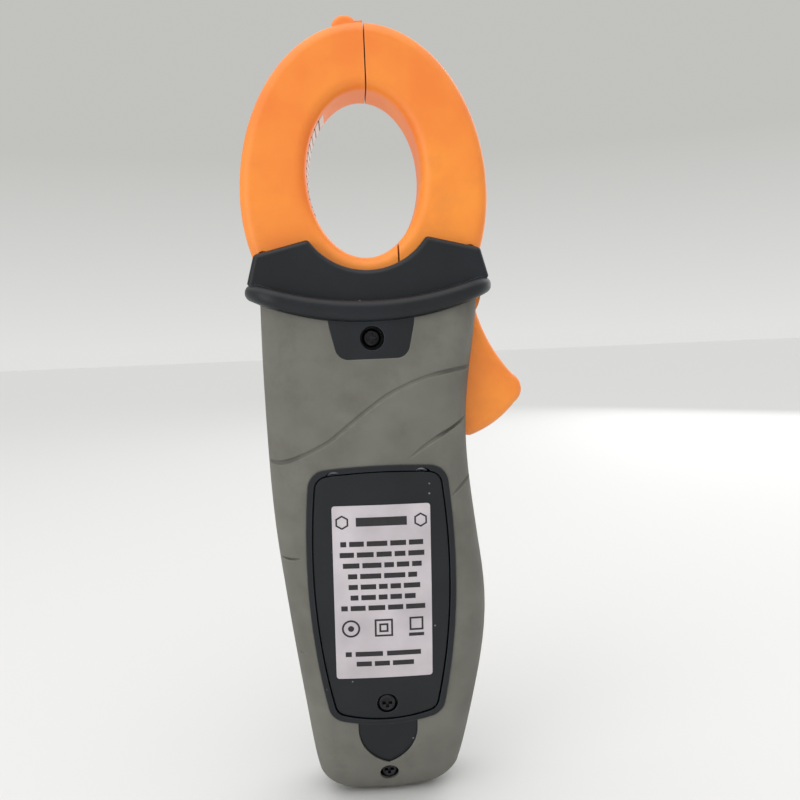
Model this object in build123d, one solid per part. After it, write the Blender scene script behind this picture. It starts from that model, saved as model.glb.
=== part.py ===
"""Hand-held clamp meter: hinged current jaws, trigger, rotary selector, display and 9 V battery bay.

Millimetres. Origin at the centre of the jaw opening. +Z runs up towards the jaw tips, -Y is the face
with the display and the selector, +Y the rear with the battery door, -X the side with the trigger.
"""

from build123d import *

import math
import os

os.makedirs("parts", exist_ok=True)

# ---- jaws ----
OPENING_W = 30.0            # width of the oval jaw opening
OPENING_H = 43.2            # height of the oval jaw opening
JAW_SIDE = 17.5             # width of the ring at its sides
JAW_TIP = 17.0              # width of the ring at its tip
JAW_T = 17.0                # thickness of the ring, front to rear
JAW_EDGE = 3.0              # rounding of the ring's long edges
JAW_WIDEST_Z = -5.5         # height at which the ring is widest
JAW_LOW_H = 40.0            # from there down to the bottom of its lower half ellipse
SPLIT_X = -1.5              # split between the jaw tips
SPLIT_GAP = 0.3
HEEL_X = -8.0               # split at the heel of the fixed jaw
HEEL_GAP = 0.4
BUMP_X, BUMP_W, BUMP_H = 3.4, 6.4, 2.3      # rounded sensor bump on the fixed jaw's tip
CORE_W, CORE_T = 8.0, 8.0   # laminated core, radial and front to rear
COIL_WALL = 2.2             # winding on the core
COIL_LOW_Z, COIL_HIGH_Z = -11.0, 17.0
FOIL_T, FOIL_W = 0.4, 4.0   # voltage sensing foil along the fixed jaw
MARK_T, MARK_W = 0.15, 9.0  # printed strip on the inner wall of the fixed jaw
MARK_LOW_Z, MARK_HIGH_Z = -10.0, 16.0
FIT = 0.15                  # clearance round pieces that drop into a pocket
RUN = 0.3                   # clearance beside pieces that swing

# ---- pivot, return spring and trigger ----
PIVOT_X, PIVOT_Z = -19.0, -31.0
KNUCKLE_R = HEEL_X - HEEL_GAP - PIVOT_X
KNUCKLE_ROOM = 1.0          # room round the knuckle inside the case
PIN_R = 2.0
PIN_SEAT = 3.0              # depth of the pin in each case half
BUSH_R = 3.4
PIN_CLEAR = 0.05
SPRING_R = 5.0              # mean radius of the return spring's coils
SPRING_WIRE = 1.1
SPRING_PITCH = 1.3
SPRING_TURNS = 2
SPRING_FLOOR_Y = 4.7        # bottom of the spring's pocket in the rear jaw shell
SPRING_HOLE = 2.0           # depth of the hole that holds the spring's tail in the case
LEG_TURN = 75.0             # direction of the spring's leg that pushes the jaw, degrees from +X
LEG_REACH = 8.6             # from the pivot to the end of that leg
ARM_T = 12.0                # thickness of the trigger
TONGUE_T = 5.0              # trigger tongue held between the jaw shells
TONGUE_RIM_R = BUSH_R + 1.4     # inside of that tongue round the pivot
TONGUE_TOP_Z = PIVOT_Z - 2.5
TRIGGER_PINS = ((PIVOT_X - 3.6, PIVOT_Z - 7.0), (PIVOT_X + 4.4, PIVOT_Z - 6.2))
TRIGGER_PIN_R = 0.9
TRIGGER_EDGE = 2.4
TRIGGER_DROP = 41.0         # from the pivot down to the lower end of the trigger's slot
OPEN_ANGLE = 28.0
JAW_SCREW_IN, JAW_SCREW_Z = 5.5, -21.0      # first shell screw of each jaw, from the ring's side
JAW_SCREW_SINK = 0.3        # how far its head is sunk
FIXED_SCREW, MOVING_SCREW = (11.5, -42.0), (PIVOT_X - 8.4, PIVOT_Z + 1.6)     # second shell screw of each jaw

# ---- case ----
CASE_TOP_Z = -24.0
CASE_END_Z = -170.0
END_CAP = 7.0               # height of the rounded end below the last level
FRONT_Y = -15.5             # front panel
FRONT_R = 4.0
CROWN = 0.7                 # rise of the rear face across its width
GRIP_T = 1.2                # soft overmould
WALL = 1.8                  # hard shell under it
PARTING_Y = -2.0
# height, half width on the trigger side, half width on the plain side, rear face, rear corner radius
STATIONS = (
    (CASE_TOP_Z, 28.4, 28.5, 16.0, 8.0),
    (-38.0, 27.9, 28.6, 16.3, 8.5),
    (-52.0, 25.8, 28.7, 16.5, 9.0),
    (-68.0, 24.4, 28.5, 16.5, 9.0),
    (-84.0, 25.2, 28.0, 16.4, 9.0),
    (-99.0, 26.9, 26.9, 16.1, 9.0),
    (-114.0, 28.2, 25.3, 15.4, 9.0),
    (-130.0, 26.9, 23.5, 13.8, 8.5),
    (-146.0, 23.8, 21.6, 11.2, 7.5),
    (-156.0, 21.6, 20.4, 8.8, 6.5),
    (CASE_END_Z + END_CAP, 19.8, 19.2, 6.4, 5.5),
)
END_STATION = (17.3, 17.2, 3.4, 5.0)    # the same values at the end face, before its edge is rounded
END_ROUND_X, END_ROUND_Y = 6.0, 2.2

# ---- guard and collar ----
GUARD_HALF, GUARD_Y = 32.2, 18.0
GUARD_EDGE = 2.2
GUARD_CORNER = 9.5
GUARD_TOP = (-26.8, -33.2)  # upper arc of the guard: height at its ends and at its middle
GUARD_LOW = (-31.5, -38.9)  # lower arc
COLLAR_Y = 12.8             # outer faces of the two collar plates
COLLAR_PEAK = (15.2, -17.1)
COLLAR_CORNER = (29.2, -20.5)
COLLAR_DIP_Z = -25.3
COLLAR_EDGE = 1.4
CHEEK_T = 2.5               # ribs that hold the jaws inside the case
SEAT_Z = -50.0              # bottom of those ribs
LEAD_SLOT_Y = -2.0          # notch for the leads of the fixed jaw

# ---- battery door ----
RIM_TOP, RIM_BOTTOM = -75.6, -146.8     # outside of the raised rim round the door
RIM_HALF = (17.7, 19.3, 15.0)           # half widths of the rim: upper corners, widest, lower corners
RIM_WIDEST_Z = -108.0
RIM_SAG = (0.9, 2.2)        # fall of the upper and rise of the lower edge at the corners
RIM_CORNER = 5.0
RIM_W = 1.4
RIM_PROUD = 0.35
DOOR_GAP = 0.4
DOOR_T = 2.0
LEDGE_T = 1.2
DOOR_SCREW_Z = -140.6
WASHER_T = 0.4
NUT_Y, NUT_T, NUT_HALF = 7.4, 0.8, 2.6      # slotted clip nut of the door screw
NUT_PASS = 1.0                              # how far the screw passes through it
TAB_X, TAB_W, TAB_LEN, TAB_T = 4.6, 4.6, 2.8, 1.4     # hinge tabs on the door's upper edge
LABEL_W, LABEL_H, LABEL_T = 25.5, 47.0, 0.2
LABEL_Z, LABEL_TILT = -109.3, 1.0
TONGUE_TOP = (11.0, 8.9, -48.2)         # upper hard tongue: half widths at top and foot, and foot height
TONGUE_LOW = (8.0, CASE_END_Z + 10.4)   # lower hard tongue: half width and foot height
TONGUE_CORNER = 3.5
SCOOP = 0.5                             # how far the lower tongue is sunk

# ---- battery bay ----
BATTERY_W, BATTERY_T, BATTERY_L = 26.5, 17.5, 46.5
BATTERY_Z = -135.4          # its lower end
BATTERY_GAP = 0.3725        # between the battery and the door, at that end
TERMINALS = ((-6.35, 2.8), (6.35, 3.9))     # place and radius of the two snap terminals
TERMINAL_H = 2.0
CLIP_T = 2.4
BAY_CLEAR = 0.5
BAY_WALL = 1.2
BAY_TOP = -83.8
LEAD_R = 0.6
LEAD_X, LEAD_Y = 4.0, 1.0
PAD_HALF, PAD_LOW_Z, PAD_HIGH_Z = 9.0, -112.0, -92.0    # foam pad inside the door
PAD_GAP = 0.3

# ---- screws ----
SHANK_R, HEAD_R, HEAD_H = 1.4, 2.4, 1.9
TOP_SCREW_Z, LOW_SCREW_Z = -42.9, CASE_END_Z + 6.8
BAY_SCREW_X, BAY_SCREW_Z = 11.5, -79.2
BOSS_R = 3.0
BOSS_WALL = 1.2
TOP_HOLE_R, LOW_HOLE_R, DOOR_HOLE_R = 3.1, 2.6, 2.8
TOP_SEAT_Y = JAW_T / 2 + 1.5    # seats of the screw heads: over the jaws, in the bay, at the end, in the door
BAY_SEAT_Y, LOW_SEAT_Y, DOOR_SEAT_Y = 10.8, 2.6, 9.6
TOP_CUP_Y, BAY_CUP_Y, LOW_CUP_Y = 14.0, 13.5, 5.0     # tops of the walls round those heads
TOP_TIP_Y, LOW_TIP_Y, JAW_TIP_Y = -6.5, -9.5, -4.8     # ends of the screws
BORE_EXTRA = 0.5                # depth of a screw's bore past its end
CROSS_W, CROSS_DEPTH = 0.8, 1.0
SMALL_SHANK_R, SMALL_HEAD_R, SMALL_HEAD_H = 0.8, 1.6, 1.1

# ---- front ----
PANEL_HALF, PANEL_TOP, PANEL_BOTTOM, PANEL_CORNER = 20.0, -42.5, CASE_END_Z + 18.0, 7.0
DIAL_Z, DIAL_R, DIAL_TOP_Y = -62.0, 15.5, -17.2
DIAL_RECESS = 1.2
GRIP_BAR_W, GRIP_BAR_TOP_Y = 9.0, -21.0
HUB_R = 4.5
CARRIER_R, CARRIER_T = 10.4, 1.0
DETENT_R, DETENTS, BUMP_R = 8.3, 12, 0.8
DETENT_GROOVE = 1.3         # half width of the groove that the detent spring runs in
CARRIER_GAP = 0.6           # between the front wall and the contact carrier
BUTTON_Z, BUTTON_W, BUTTON_H = -86.0, 8.0, 5.6
BUTTON_X = (-15.6, -5.2, 5.2, 15.6)
BUTTON_NAMES = ("mode", "range", "hold", "light")
BUTTON_TRAVEL = 0.6
BUTTON_PROUD = 1.2
BUTTON_FLANGE = 1.0
WINDOW_Z, WINDOW_W, WINDOW_H, WINDOW_T = -112.5, 37.6, 37.0, 1.3
GLASS_W, GLASS_H, GLASS_T = 33.6, 31.0, 2.0
PCB_Y, PCB_T = -10.4, 1.6   # front face and thickness of the circuit board
PCB_TOP, PCB_BOTTOM, PCB_INSET = -51.5, CASE_END_Z + 22.5, 3.8
PCB_SCREW_X, PCB_SCREW_Z = 17.0, (-92.4, -134.0)
PCB_SCREW_TIP = 1.4         # how far those screws enter the posts of the front half
JACK_X, JACK_Y, JACK_BORE_R = 9.5, -7.0, 2.0
JACK_TUBE_R, JACK_COLLAR_R, JACK_LEN = 2.9, 4.3, 18.0
JACK_RECESS = 3.0
JACK_COLLAR_LEN = 9.9

# ---- parts on the circuit board: middle, then size ----
CHIP_AT, CHIP_SIZE, CHIP_T = (5.5, -65.5), 10.0, 1.6
CAPACITOR_AT, CAPACITOR_R, CAPACITOR_H = (18.6, -57.0), 2.5, 4.8
BUZZER_AT, BUZZER_R, BUZZER_H = (17.0, -69.5), 5.8, 2.6
PTC_X, PTC_Z, PTC_R, PTC_T = 13.6, -142.5, 2.8, 3.4
RESISTOR_X, RESISTOR_Z, RESISTOR_R, RESISTOR_LEN = 17.6, (-104.0, -117.0), 1.2, 8.0
SWITCH_SIZE, SWITCH_T, SWITCH_KEY_R, SWITCH_KEY_H = 4.0, 1.1, 0.9, 1.5
WIPER_R, WIPER_W, WIPER_T = 6.8, 3.6, 1.0
WIPER_TURNS = (90, 210, 330)

# ---- lengths worked out from the above ----
OPEN_A, OPEN_B = OPENING_W / 2, OPENING_H / 2
RING_A = OPEN_A + JAW_SIDE
RING_UP = OPEN_B + JAW_TIP - JAW_WIDEST_Z
MID_A, MID_B = OPEN_A + JAW_SIDE / 2, OPEN_B + JAW_TIP / 2
JAW_Y = JAW_T / 2
SLOT_Y = JAW_Y + RUN
ARM_Y = ARM_T / 2
FOOT_Z = SEAT_Z + 2.0
HOLLOW = GRIP_T + WALL
CHEEK_Y = SLOT_Y + CHEEK_T
BIG = 200.0
PIVOT_AT = (PIVOT_X, PIVOT_Z)
SPRING_HOLE_Y = SLOT_Y + SPRING_HOLE
SPRING_Y = SPRING_FLOOR_Y + SPRING_WIRE / 2 + FIT
SPRING_END = (
    PIVOT_X + SPRING_R * math.cos(math.radians(LEG_TURN)),
    PIVOT_Z + SPRING_R * math.sin(math.radians(LEG_TURN)),
)
SLOT_LOW_Z = PIVOT_Z - TRIGGER_DROP
ARM_ROOM = ARM_Y + 0.5
KNUCKLE_LOW_Z = PIVOT_Z - KNUCKLE_R - KNUCKLE_ROOM
JAW_SCREW_X = RING_A - JAW_SCREW_IN
JAW_SEAT_Y = JAW_Y - SMALL_HEAD_H - JAW_SCREW_SINK
FOIL_OUT = CORE_W / 2 + COIL_WALL + FIT
WALL_IN_Y = FRONT_Y + HOLLOW
BOSS_TOP_Y = JAW_Y - 0.1
TAB_Y = STATIONS[4][3] - CROWN / 2 - DOOR_T         # outer face of the hinge tabs
DOOR_IN = DOOR_GAP + RIM_W                          # from the outside of the rim to the door
RECESS_T = DOOR_T + 0.2                             # depth of the recess for the door
PCB_BACK = PCB_Y + PCB_T
PCB_SCREWS = [(side * PCB_SCREW_X, z) for side in (-1, 1) for z in PCB_SCREW_Z]
BAY_SCREWS = [(side * BAY_SCREW_X, BAY_SCREW_Z) for side in (-1, 1)]
BUTTON_POCKET_Y = FRONT_Y + WALL
SWITCH_TOP_Y = PCB_Y - SWITCH_KEY_H
STEM_Y = SWITCH_TOP_Y - BUTTON_TRAVEL - 0.05
WINDOW_SEAT_Y = FRONT_Y + WINDOW_T
GLASS_Y = WINDOW_SEAT_Y + 0.1
CARRIER_Y = WALL_IN_Y + CARRIER_GAP


def door_surface(z):
    """Height of the rear face along its middle."""
    for (z0, _, _, y0, _), (z1, _, _, y1, _) in zip(STATIONS, STATIONS[1:]):
        if z1 <= z <= z0:
            return y0 + (y1 - y0) * (z0 - z) / (z0 - z1)
    return STATIONS[-1][3]


BATTERY_Y = door_surface(BATTERY_Z) - DOOR_T - BATTERY_GAP - BATTERY_T / 2      # middle of its thickness
BAY_X = BATTERY_W / 2 + BAY_CLEAR
BAY_FLOOR_Y = BATTERY_Y - BATTERY_T / 2 - BAY_CLEAR
BAY_LOW = BATTERY_Z - BAY_CLEAR


# ---- drawing helpers: flat outlines are (x, z), and slabs stand between two Y positions ----
def slab(face, y_low, y_high):
    return extrude(Plane.XZ.offset(-y_high) * face, amount=y_high - y_low)


def outline(*edges):
    return make_face(list(edges))


def polygon(*points):
    return make_face(Polyline(*points, close=True))


def rounded(points, radii):
    return make_face(FilletPolyline(*points, radius=radii, close=True))


def oblong(x, z, width, height, corner):
    return Pos(x, z) * RectangleRounded(width, height, corner)


def post(x, z, radius, y_low, y_high):
    return Pos(x, (y_low + y_high) / 2, z) * Rot(90, 0, 0) * Cylinder(radius, y_high - y_low)


def block(x_low, x_high, y_low, y_high, z_low, z_high):
    middle = ((x_low + x_high) / 2, (y_low + y_high) / 2, (z_low + z_high) / 2)
    return Pos(*middle) * Box(x_high - x_low, y_high - y_low, z_high - z_low)


def bar_z(x, y, radius, z_low, z_high):
    return Pos(x, y, (z_low + z_high) / 2) * Cylinder(radius, z_high - z_low)


def front_part(shape):
    return shape & block(-BIG, BIG, -BIG, 0, -BIG, BIG)


def rear_part(shape):
    return shape & block(-BIG, BIG, 0, BIG, -BIG, BIG)


def group(shapes):
    return Compound(children=list(shapes))


def soften(shape, radius, chosen):
    """Rounds the edges that the test picks."""
    return fillet([e for e in shape.edges() if chosen(e.center(), e)], radius)


def write(name, shape, count=1):
    solids = shape.solids()
    print(f"{name:24s} {sum(s.volume for s in solids):9.0f} mm3")
    assert len(solids) == count, f"{name}: {len(solids)} solids, {count} meant"
    made = solids[0] if count == 1 else Compound(children=list(solids))
    export_step(made, f"parts/{name}.step")


def screw(x, z, seat_y, tip_y, shank, head, height, facing=1):
    """A pan-head screw along Y with a cross recess; facing +1 puts the head towards +Y."""
    top = seat_y + facing * height
    low, high = min(seat_y, top), max(seat_y, top)
    shape = post(x, z, head, low, high)
    shape = soften(shape, height * 0.35, lambda c, e: abs(c.Y - top) < 0.01)
    shape += post(x, z, shank, min(seat_y, tip_y), max(seat_y, tip_y))
    floor = top - facing * min(CROSS_DEPTH, height * 0.6)
    for wide, tall in ((head * 1.1, CROSS_W), (CROSS_W, head * 1.1)):
        shape -= slab(Pos(x, z) * Rectangle(wide, tall), min(floor, top), max(floor, top) + 0.01)
    return shape


def case_screw(x, z, seat_y, tip_y):
    return screw(x, z, seat_y, tip_y, SHANK_R, HEAD_R, HEAD_H)


def small_screw(x, z, seat_y, tip_y):
    return screw(x, z, seat_y, tip_y, SMALL_SHANK_R, SMALL_HEAD_R, SMALL_HEAD_H)


# ---- the case's outer form, or the same form drawn in by an inset ----
def section(z, left, right, rear, corner, inset, front=FRONT_Y):
    """One level of the case: flat front, straight sides, crowned rear, four rounded corners."""
    x0, x1 = inset - left, right - inset
    y0, y1 = front + inset, rear - CROWN - inset
    f = max(FRONT_R - inset, 0.6)
    r = max(corner - inset, 0.6)
    f_cut, r_cut = f * (1 - math.sqrt(0.5)), r * (1 - math.sqrt(0.5))
    return Wire([
        Edge.make_line((x0 + f, y0, z), (x1 - f, y0, z)),
        Edge.make_three_point_arc((x1 - f, y0, z), (x1 - f_cut, y0 + f_cut, z), (x1, y0 + f, z)),
        Edge.make_line((x1, y0 + f, z), (x1, y1 - r, z)),
        Edge.make_three_point_arc((x1, y1 - r, z), (x1 - r_cut, y1 - r_cut, z), (x1 - r, y1, z)),
        Edge.make_three_point_arc((x1 - r, y1, z), ((x0 + x1) / 2, y1 + CROWN, z), (x0 + r, y1, z)),
        Edge.make_three_point_arc((x0 + r, y1, z), (x0 + r_cut, y1 - r_cut, z), (x0, y1 - r, z)),
        Edge.make_line((x0, y1 - r, z), (x0, y0 + f, z)),
        Edge.make_three_point_arc((x0, y0 + f, z), (x0 + f_cut, y0 + f_cut, z), (x0 + f, y0, z)),
    ])


def body(inset):
    """The case's form drawn in by an inset on every side but its open top."""
    wires = [section(z, left, right, rear, corner, inset) for z, left, right, rear, corner in STATIONS]
    z_last, left, right, rear, corner = STATIONS[-1]
    end_left, end_right, end_rear, end_corner = END_STATION
    cap = [wires[-1]]
    steps = 5
    for step in range(1, steps + 1):
        turn = math.pi / 2 * step / steps
        z = z_last - (z_last - CASE_END_Z - inset) * math.sin(turn)
        part = (z_last - z) / (z_last - CASE_END_Z)
        side_in = END_ROUND_X * (1 - math.cos(turn))
        face_in = END_ROUND_Y * (1 - math.cos(turn))
        cap.append(section(
            z,
            left + (end_left - left) * part - side_in,
            right + (end_right - right) * part - side_in,
            rear + (end_rear - rear) * part - face_in,
            corner + (end_corner - corner) * part,
            inset,
            FRONT_Y + face_in,
        ))
    return Solid.make_loft(wires) + Solid.make_loft(cap)


# ---- flat outlines that several pieces share ----
def half_plane(z, above):
    far = BIG if above else -BIG
    return polygon((-BIG, z), (BIG, z), (BIG, far), (-BIG, far))


def ring_disc(grow=0.0):
    """The jaws' outer outline, filled."""
    middle = Pos(0, JAW_WIDEST_Z)
    upper = middle * Ellipse(RING_A + grow, RING_UP + grow) & half_plane(JAW_WIDEST_Z, True)
    lower = middle * Ellipse(RING_A + grow, JAW_LOW_H + grow) & half_plane(JAW_WIDEST_Z, False)
    return upper + lower


def ring_band(outside, inside):
    """An oval band about the middle line of the ring, from its distances outside and inside it."""
    return Ellipse(MID_A + outside, MID_B + outside) - Ellipse(MID_A - inside, MID_B - inside)


def fixed_side(gap=0.0):
    """The half plane of the fixed jaw, up to a gap from the split."""
    tip, heel = SPLIT_X + SPLIT_GAP / 2 + gap, HEEL_X + gap
    return polygon((tip, BIG), (BIG, BIG), (BIG, -BIG), (heel, -BIG), (heel, 0), (tip, 0))


def moving_side(gap=0.0):
    """The region of the moving jaw above its pivot, up to a gap from the split."""
    tip, heel = SPLIT_X - SPLIT_GAP / 2 - gap, HEEL_X - HEEL_GAP - gap
    return polygon((tip, BIG), (-BIG, BIG), (-BIG, PIVOT_Z), (heel, PIVOT_Z), (heel, 0), (tip, 0))


def fixed_foot(grow=0.0):
    return polygon(
        (HEEL_X, FOOT_Z - grow),
        (-HEEL_X * 2 + grow, FOOT_Z - grow),
        (-HEEL_X * 2 + grow, PIVOT_Z),
        (HEEL_X, PIVOT_Z),
    )


def bow(ends_z, middle_z, half):
    """An arc across the case, from its height at both ends and at its middle."""
    return ThreePointArc((-half, ends_z), (0, middle_z), (half, ends_z))


def under_bow(ends_z, middle_z, half, low):
    arc = bow(ends_z, middle_z, half)
    return outline(arc, Polyline(arc @ 1, (half, low), (-half, low), arc @ 0))


def door_outline(grow=0.0):
    """The outline of the door's rim, grown or drawn in."""
    top, bottom = RIM_TOP + grow, RIM_BOTTOM - grow
    upper, wide, lower = (half + grow for half in RIM_HALF)
    high, low = top - RIM_SAG[0], bottom + RIM_SAG[1]
    face = outline(
        ThreePointArc((-upper, high), (0, top), (upper, high)),
        ThreePointArc((upper, high), (wide, RIM_WIDEST_Z), (lower, low)),
        ThreePointArc((lower, low), (0, bottom), (-lower, low)),
        ThreePointArc((-lower, low), (-wide, RIM_WIDEST_Z), (-upper, high)),
    )
    return fillet(face.vertices(), RIM_CORNER + grow)


def upper_tongue():
    top, foot, foot_z = TONGUE_TOP
    high, low = GUARD_TOP[1], GUARD_LOW[1]
    return rounded(
        ((-top, high), (top, high), (top, low), (foot, foot_z), (-foot, foot_z), (-top, low)),
        (0, 0, 3 * TONGUE_CORNER, TONGUE_CORNER, TONGUE_CORNER, 3 * TONGUE_CORNER),
    )


def lower_tongue():
    half, foot = TONGUE_LOW
    high = RIM_BOTTOM + RIM_CORNER
    start = RIM_BOTTOM - 1.0
    side = half * 0.62
    return outline(
        Line((-half, high), (half, high)),
        Line((half, high), (half, start)),
        ThreePointArc((half, start), (side, foot + 3.2), (0, foot)),
        ThreePointArc((0, foot), (-side, foot + 3.2), (-half, start)),
        Line((-half, start), (-half, high)),
    )


def jaw_slot():
    """The opening between the cheeks: the fixed jaw's seat and room for the moving jaw."""
    seat = ring_disc(FIT) + fixed_foot(FIT)
    seat &= polygon((HEEL_X - HEEL_GAP, BIG), (BIG, BIG), (BIG, -BIG), (HEEL_X - HEEL_GAP, -BIG))
    room = polygon((-BIG, BIG), (HEEL_X, BIG), (HEEL_X, SEAT_Z), (-BIG, SEAT_Z))
    return seat + room


OUTER = body(0)
UNDER_GRIP = body(GRIP_T)
INSIDE = body(HOLLOW)
GUARD_MID = ((GUARD_TOP[0] + GUARD_LOW[0]) / 2, (GUARD_TOP[1] + GUARD_LOW[1]) / 2)
BELOW_GUARD = slab(under_bow(*GUARD_MID, GUARD_HALF + 2, CASE_END_Z - 5), -BIG, BIG)
SWING_ROOM = (
    slab(polygon((-BIG, PIVOT_Z), (0, PIVOT_Z), (0, SLOT_LOW_Z), (-BIG, SLOT_LOW_Z)), -ARM_ROOM, ARM_ROOM)
    + slab(polygon((-BIG, BIG), (0, BIG), (0, KNUCKLE_LOW_Z), (-BIG, KNUCKLE_LOW_Z)), -SLOT_Y, SLOT_Y)
)
FRONT_HALF = block(-BIG, BIG, -BIG, PARTING_Y, -BIG, BIG)
REAR_HALF = block(-BIG, BIG, PARTING_Y, BIG, -BIG, BIG)


# ---- case ----
def guard_band():
    """The guard that stands proud all round the case, with rounded edges."""
    arc_top = bow(GUARD_TOP[0], GUARD_TOP[1], GUARD_HALF)
    arc_low = bow(GUARD_LOW[0], GUARD_LOW[1], GUARD_HALF)
    strip = outline(arc_top, Line(arc_top @ 1, arc_low @ 1), arc_low, Line(arc_low @ 0, arc_top @ 0))
    shape = slab(strip, -GUARD_Y, GUARD_Y)
    uprights = [e for e in shape.edges() if abs(e.center().X) > GUARD_HALF - 0.1
                and abs(abs(e.center().Y) - GUARD_Y) < 0.1]
    shape = fillet(uprights, GUARD_CORNER)
    long_edges = [e for e in shape.edges() if e.length > 3 and abs(e.tangent_at(0.5).Z) < 0.7]
    return fillet(long_edges, GUARD_EDGE)


def collar_plates():
    """The two plates that stand up from the guard over the feet of the jaws."""
    peak_x, peak_z = COLLAR_PEAK
    corner_x, corner_z = COLLAR_CORNER
    side_x, side_z, foot_x = GUARD_HALF - 1.0, GUARD_TOP[0] - 1.0, GUARD_HALF - 4.0
    face = outline(
        ThreePointArc((-peak_x, peak_z), (0, COLLAR_DIP_Z), (peak_x, peak_z)),
        Line((peak_x, peak_z), (corner_x, corner_z)),
        Line((corner_x, corner_z), (side_x, side_z)),
        Line((side_x, side_z), (foot_x, GUARD_LOW[0])),
        ThreePointArc((foot_x, GUARD_LOW[0]), (0, GUARD_MID[1]), (-foot_x, GUARD_LOW[0])),
        Line((-foot_x, GUARD_LOW[0]), (-side_x, side_z)),
        Line((-side_x, side_z), (-corner_x, corner_z)),
        Line((-corner_x, corner_z), (-peak_x, peak_z)),
    )
    tops = [v for v in face.vertices() if v.Y > corner_z - 0.1]
    face = fillet(tops, 1.2)
    plate = slab(face, SLOT_Y, COLLAR_Y)
    plate = soften(plate, COLLAR_EDGE, lambda c, e: abs(c.Y - COLLAR_Y) < 0.01 and c.Z > GUARD_TOP[0])
    return plate + mirror(plate, Plane.XZ)


def hard_shell():
    """Both case halves in one, before they are parted: shell, guard, collar and the jaws' seat."""
    rim = slab(door_outline(), 0, BIG)
    hard = UNDER_GRIP
    hard += OUTER & slab(upper_tongue(), 0, BIG)
    hard += (OUTER & slab(lower_tongue(), 0, BIG)) - (OUTER - body(SCOOP) & slab(lower_tongue(), 0, BIG))
    hard += body(-RIM_PROUD) & rim
    hard += OUTER & slab(panel_outline(), -BIG, 0)
    hard &= BELOW_GUARD
    shape = hard - (INSIDE - block(-BIG, BIG, -BIG, BIG, SEAT_Z, 0))
    high_room = INSIDE & block(-BIG, BIG, CHEEK_Y, BIG, SEAT_Z - 1, GUARD_LOW[1] - 1)
    high_room += INSIDE & block(-BIG, BIG, -BIG, -CHEEK_Y, SEAT_Z - 1, GUARD_LOW[1] - 1)
    shape = shape - high_room + guard_band() + collar_plates()
    shape -= slab(jaw_slot(), -SLOT_Y, SLOT_Y)
    shape -= block(6.0, 14.0, LEAD_SLOT_Y - 1.0, LEAD_SLOT_Y + 1.0, SEAT_Z - 1, FOOT_Z)
    return shape - SWING_ROOM


def panel_outline():
    return oblong(0, (PANEL_TOP + PANEL_BOTTOM) / 2, 2 * PANEL_HALF, PANEL_TOP - PANEL_BOTTOM, PANEL_CORNER)


def door_recess(depth, grow):
    """What is cut out of the rear face for the door, to a depth below the case's surface."""
    return (body(-5.0) - body(depth)) & slab(door_outline(grow - DOOR_IN), 0, BIG)


def screw_cup(x, z, head_hole, seat_y, top_y, foot_y):
    """The wall round a sunk screw head and its shank, and what is bored out of it."""
    wall = post(x, z, head_hole + BOSS_WALL, foot_y, top_y)
    bore = post(x, z, head_hole, seat_y, BIG) + post(x, z, SHANK_R + 0.1, foot_y - 1, seat_y)
    return wall, bore


def rear_case(shell):
    shape = shell & REAR_HALF
    floor = (body(RECESS_T) - body(RECESS_T + LEDGE_T)) & slab(door_outline(-RIM_W), 5, BIG)
    wall_x, wall_y = BAY_X + BAY_WALL, BAY_FLOOR_Y - BAY_WALL
    bay = block(-wall_x, wall_x, wall_y, BIG, BAY_LOW - BAY_WALL, BAY_TOP + BAY_WALL)
    bay &= body(RECESS_T)
    shape += floor + bay
    cups = [screw_cup(0, TOP_SCREW_Z, TOP_HOLE_R, TOP_SEAT_Y, TOP_CUP_Y, SLOT_Y)]
    cups += [screw_cup(x, z, HEAD_R + 0.2, BAY_SEAT_Y, BAY_CUP_Y, PARTING_Y) for x, z in BAY_SCREWS]
    cups += [screw_cup(0, LOW_SCREW_Z, LOW_HOLE_R, LOW_SEAT_Y, LOW_CUP_Y, PARTING_Y)]
    for wall, bore in cups:
        shape += wall & UNDER_GRIP
    nut_boss = post(0, DOOR_SCREW_Z, HEAD_R + BOSS_WALL, PARTING_Y, NUT_Y + NUT_T)
    shape += nut_boss
    shape -= door_recess(RECESS_T, DOOR_GAP)
    shape -= block(-BAY_X, BAY_X, BAY_FLOOR_Y, BIG, BAY_LOW, BAY_TOP)
    shape -= post(0, DOOR_SCREW_Z, DOOR_HOLE_R + BOSS_WALL + 0.3, NUT_Y + NUT_T, BIG)
    shape -= post(0, DOOR_SCREW_Z, SHANK_R + 0.8, PARTING_Y + 2.0, NUT_Y)
    shape -= nut_plate()
    for wall, bore in cups:
        shape -= bore
    for side in (-1, 1):
        x = side * TAB_X
        low, high = BAY_TOP + BAY_WALL + 0.2, RIM_TOP - DOOR_IN
        left, right = x - TAB_W / 2 - RUN, x + TAB_W / 2 + RUN
        shape -= block(left, right, TAB_Y - 2.6, TAB_Y + FIT, low, high + TAB_LEN + 0.2)
        shape -= block(left, right, TAB_Y, TAB_Y + 1.0, low, high)
        shape -= bar_z(side * LEAD_X, LEAD_Y, LEAD_R + 0.2, BAY_TOP - 0.5, BAY_TOP + BAY_WALL + 0.5)
    shape -= post(*PIVOT_AT, PIN_R, 0, SLOT_Y + PIN_SEAT)
    shape -= post(*SPRING_END, SPRING_WIRE / 2, SLOT_Y - 1, SPRING_HOLE_Y)
    return shape


def nut_plate():
    """The clip nut's plate, with a slot for the screw that is open downwards."""
    plate = Pos(0, DOOR_SCREW_Z) * Rectangle(2 * NUT_HALF, 2 * NUT_HALF)
    return slab(plate, NUT_Y, NUT_Y + NUT_T)


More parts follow.
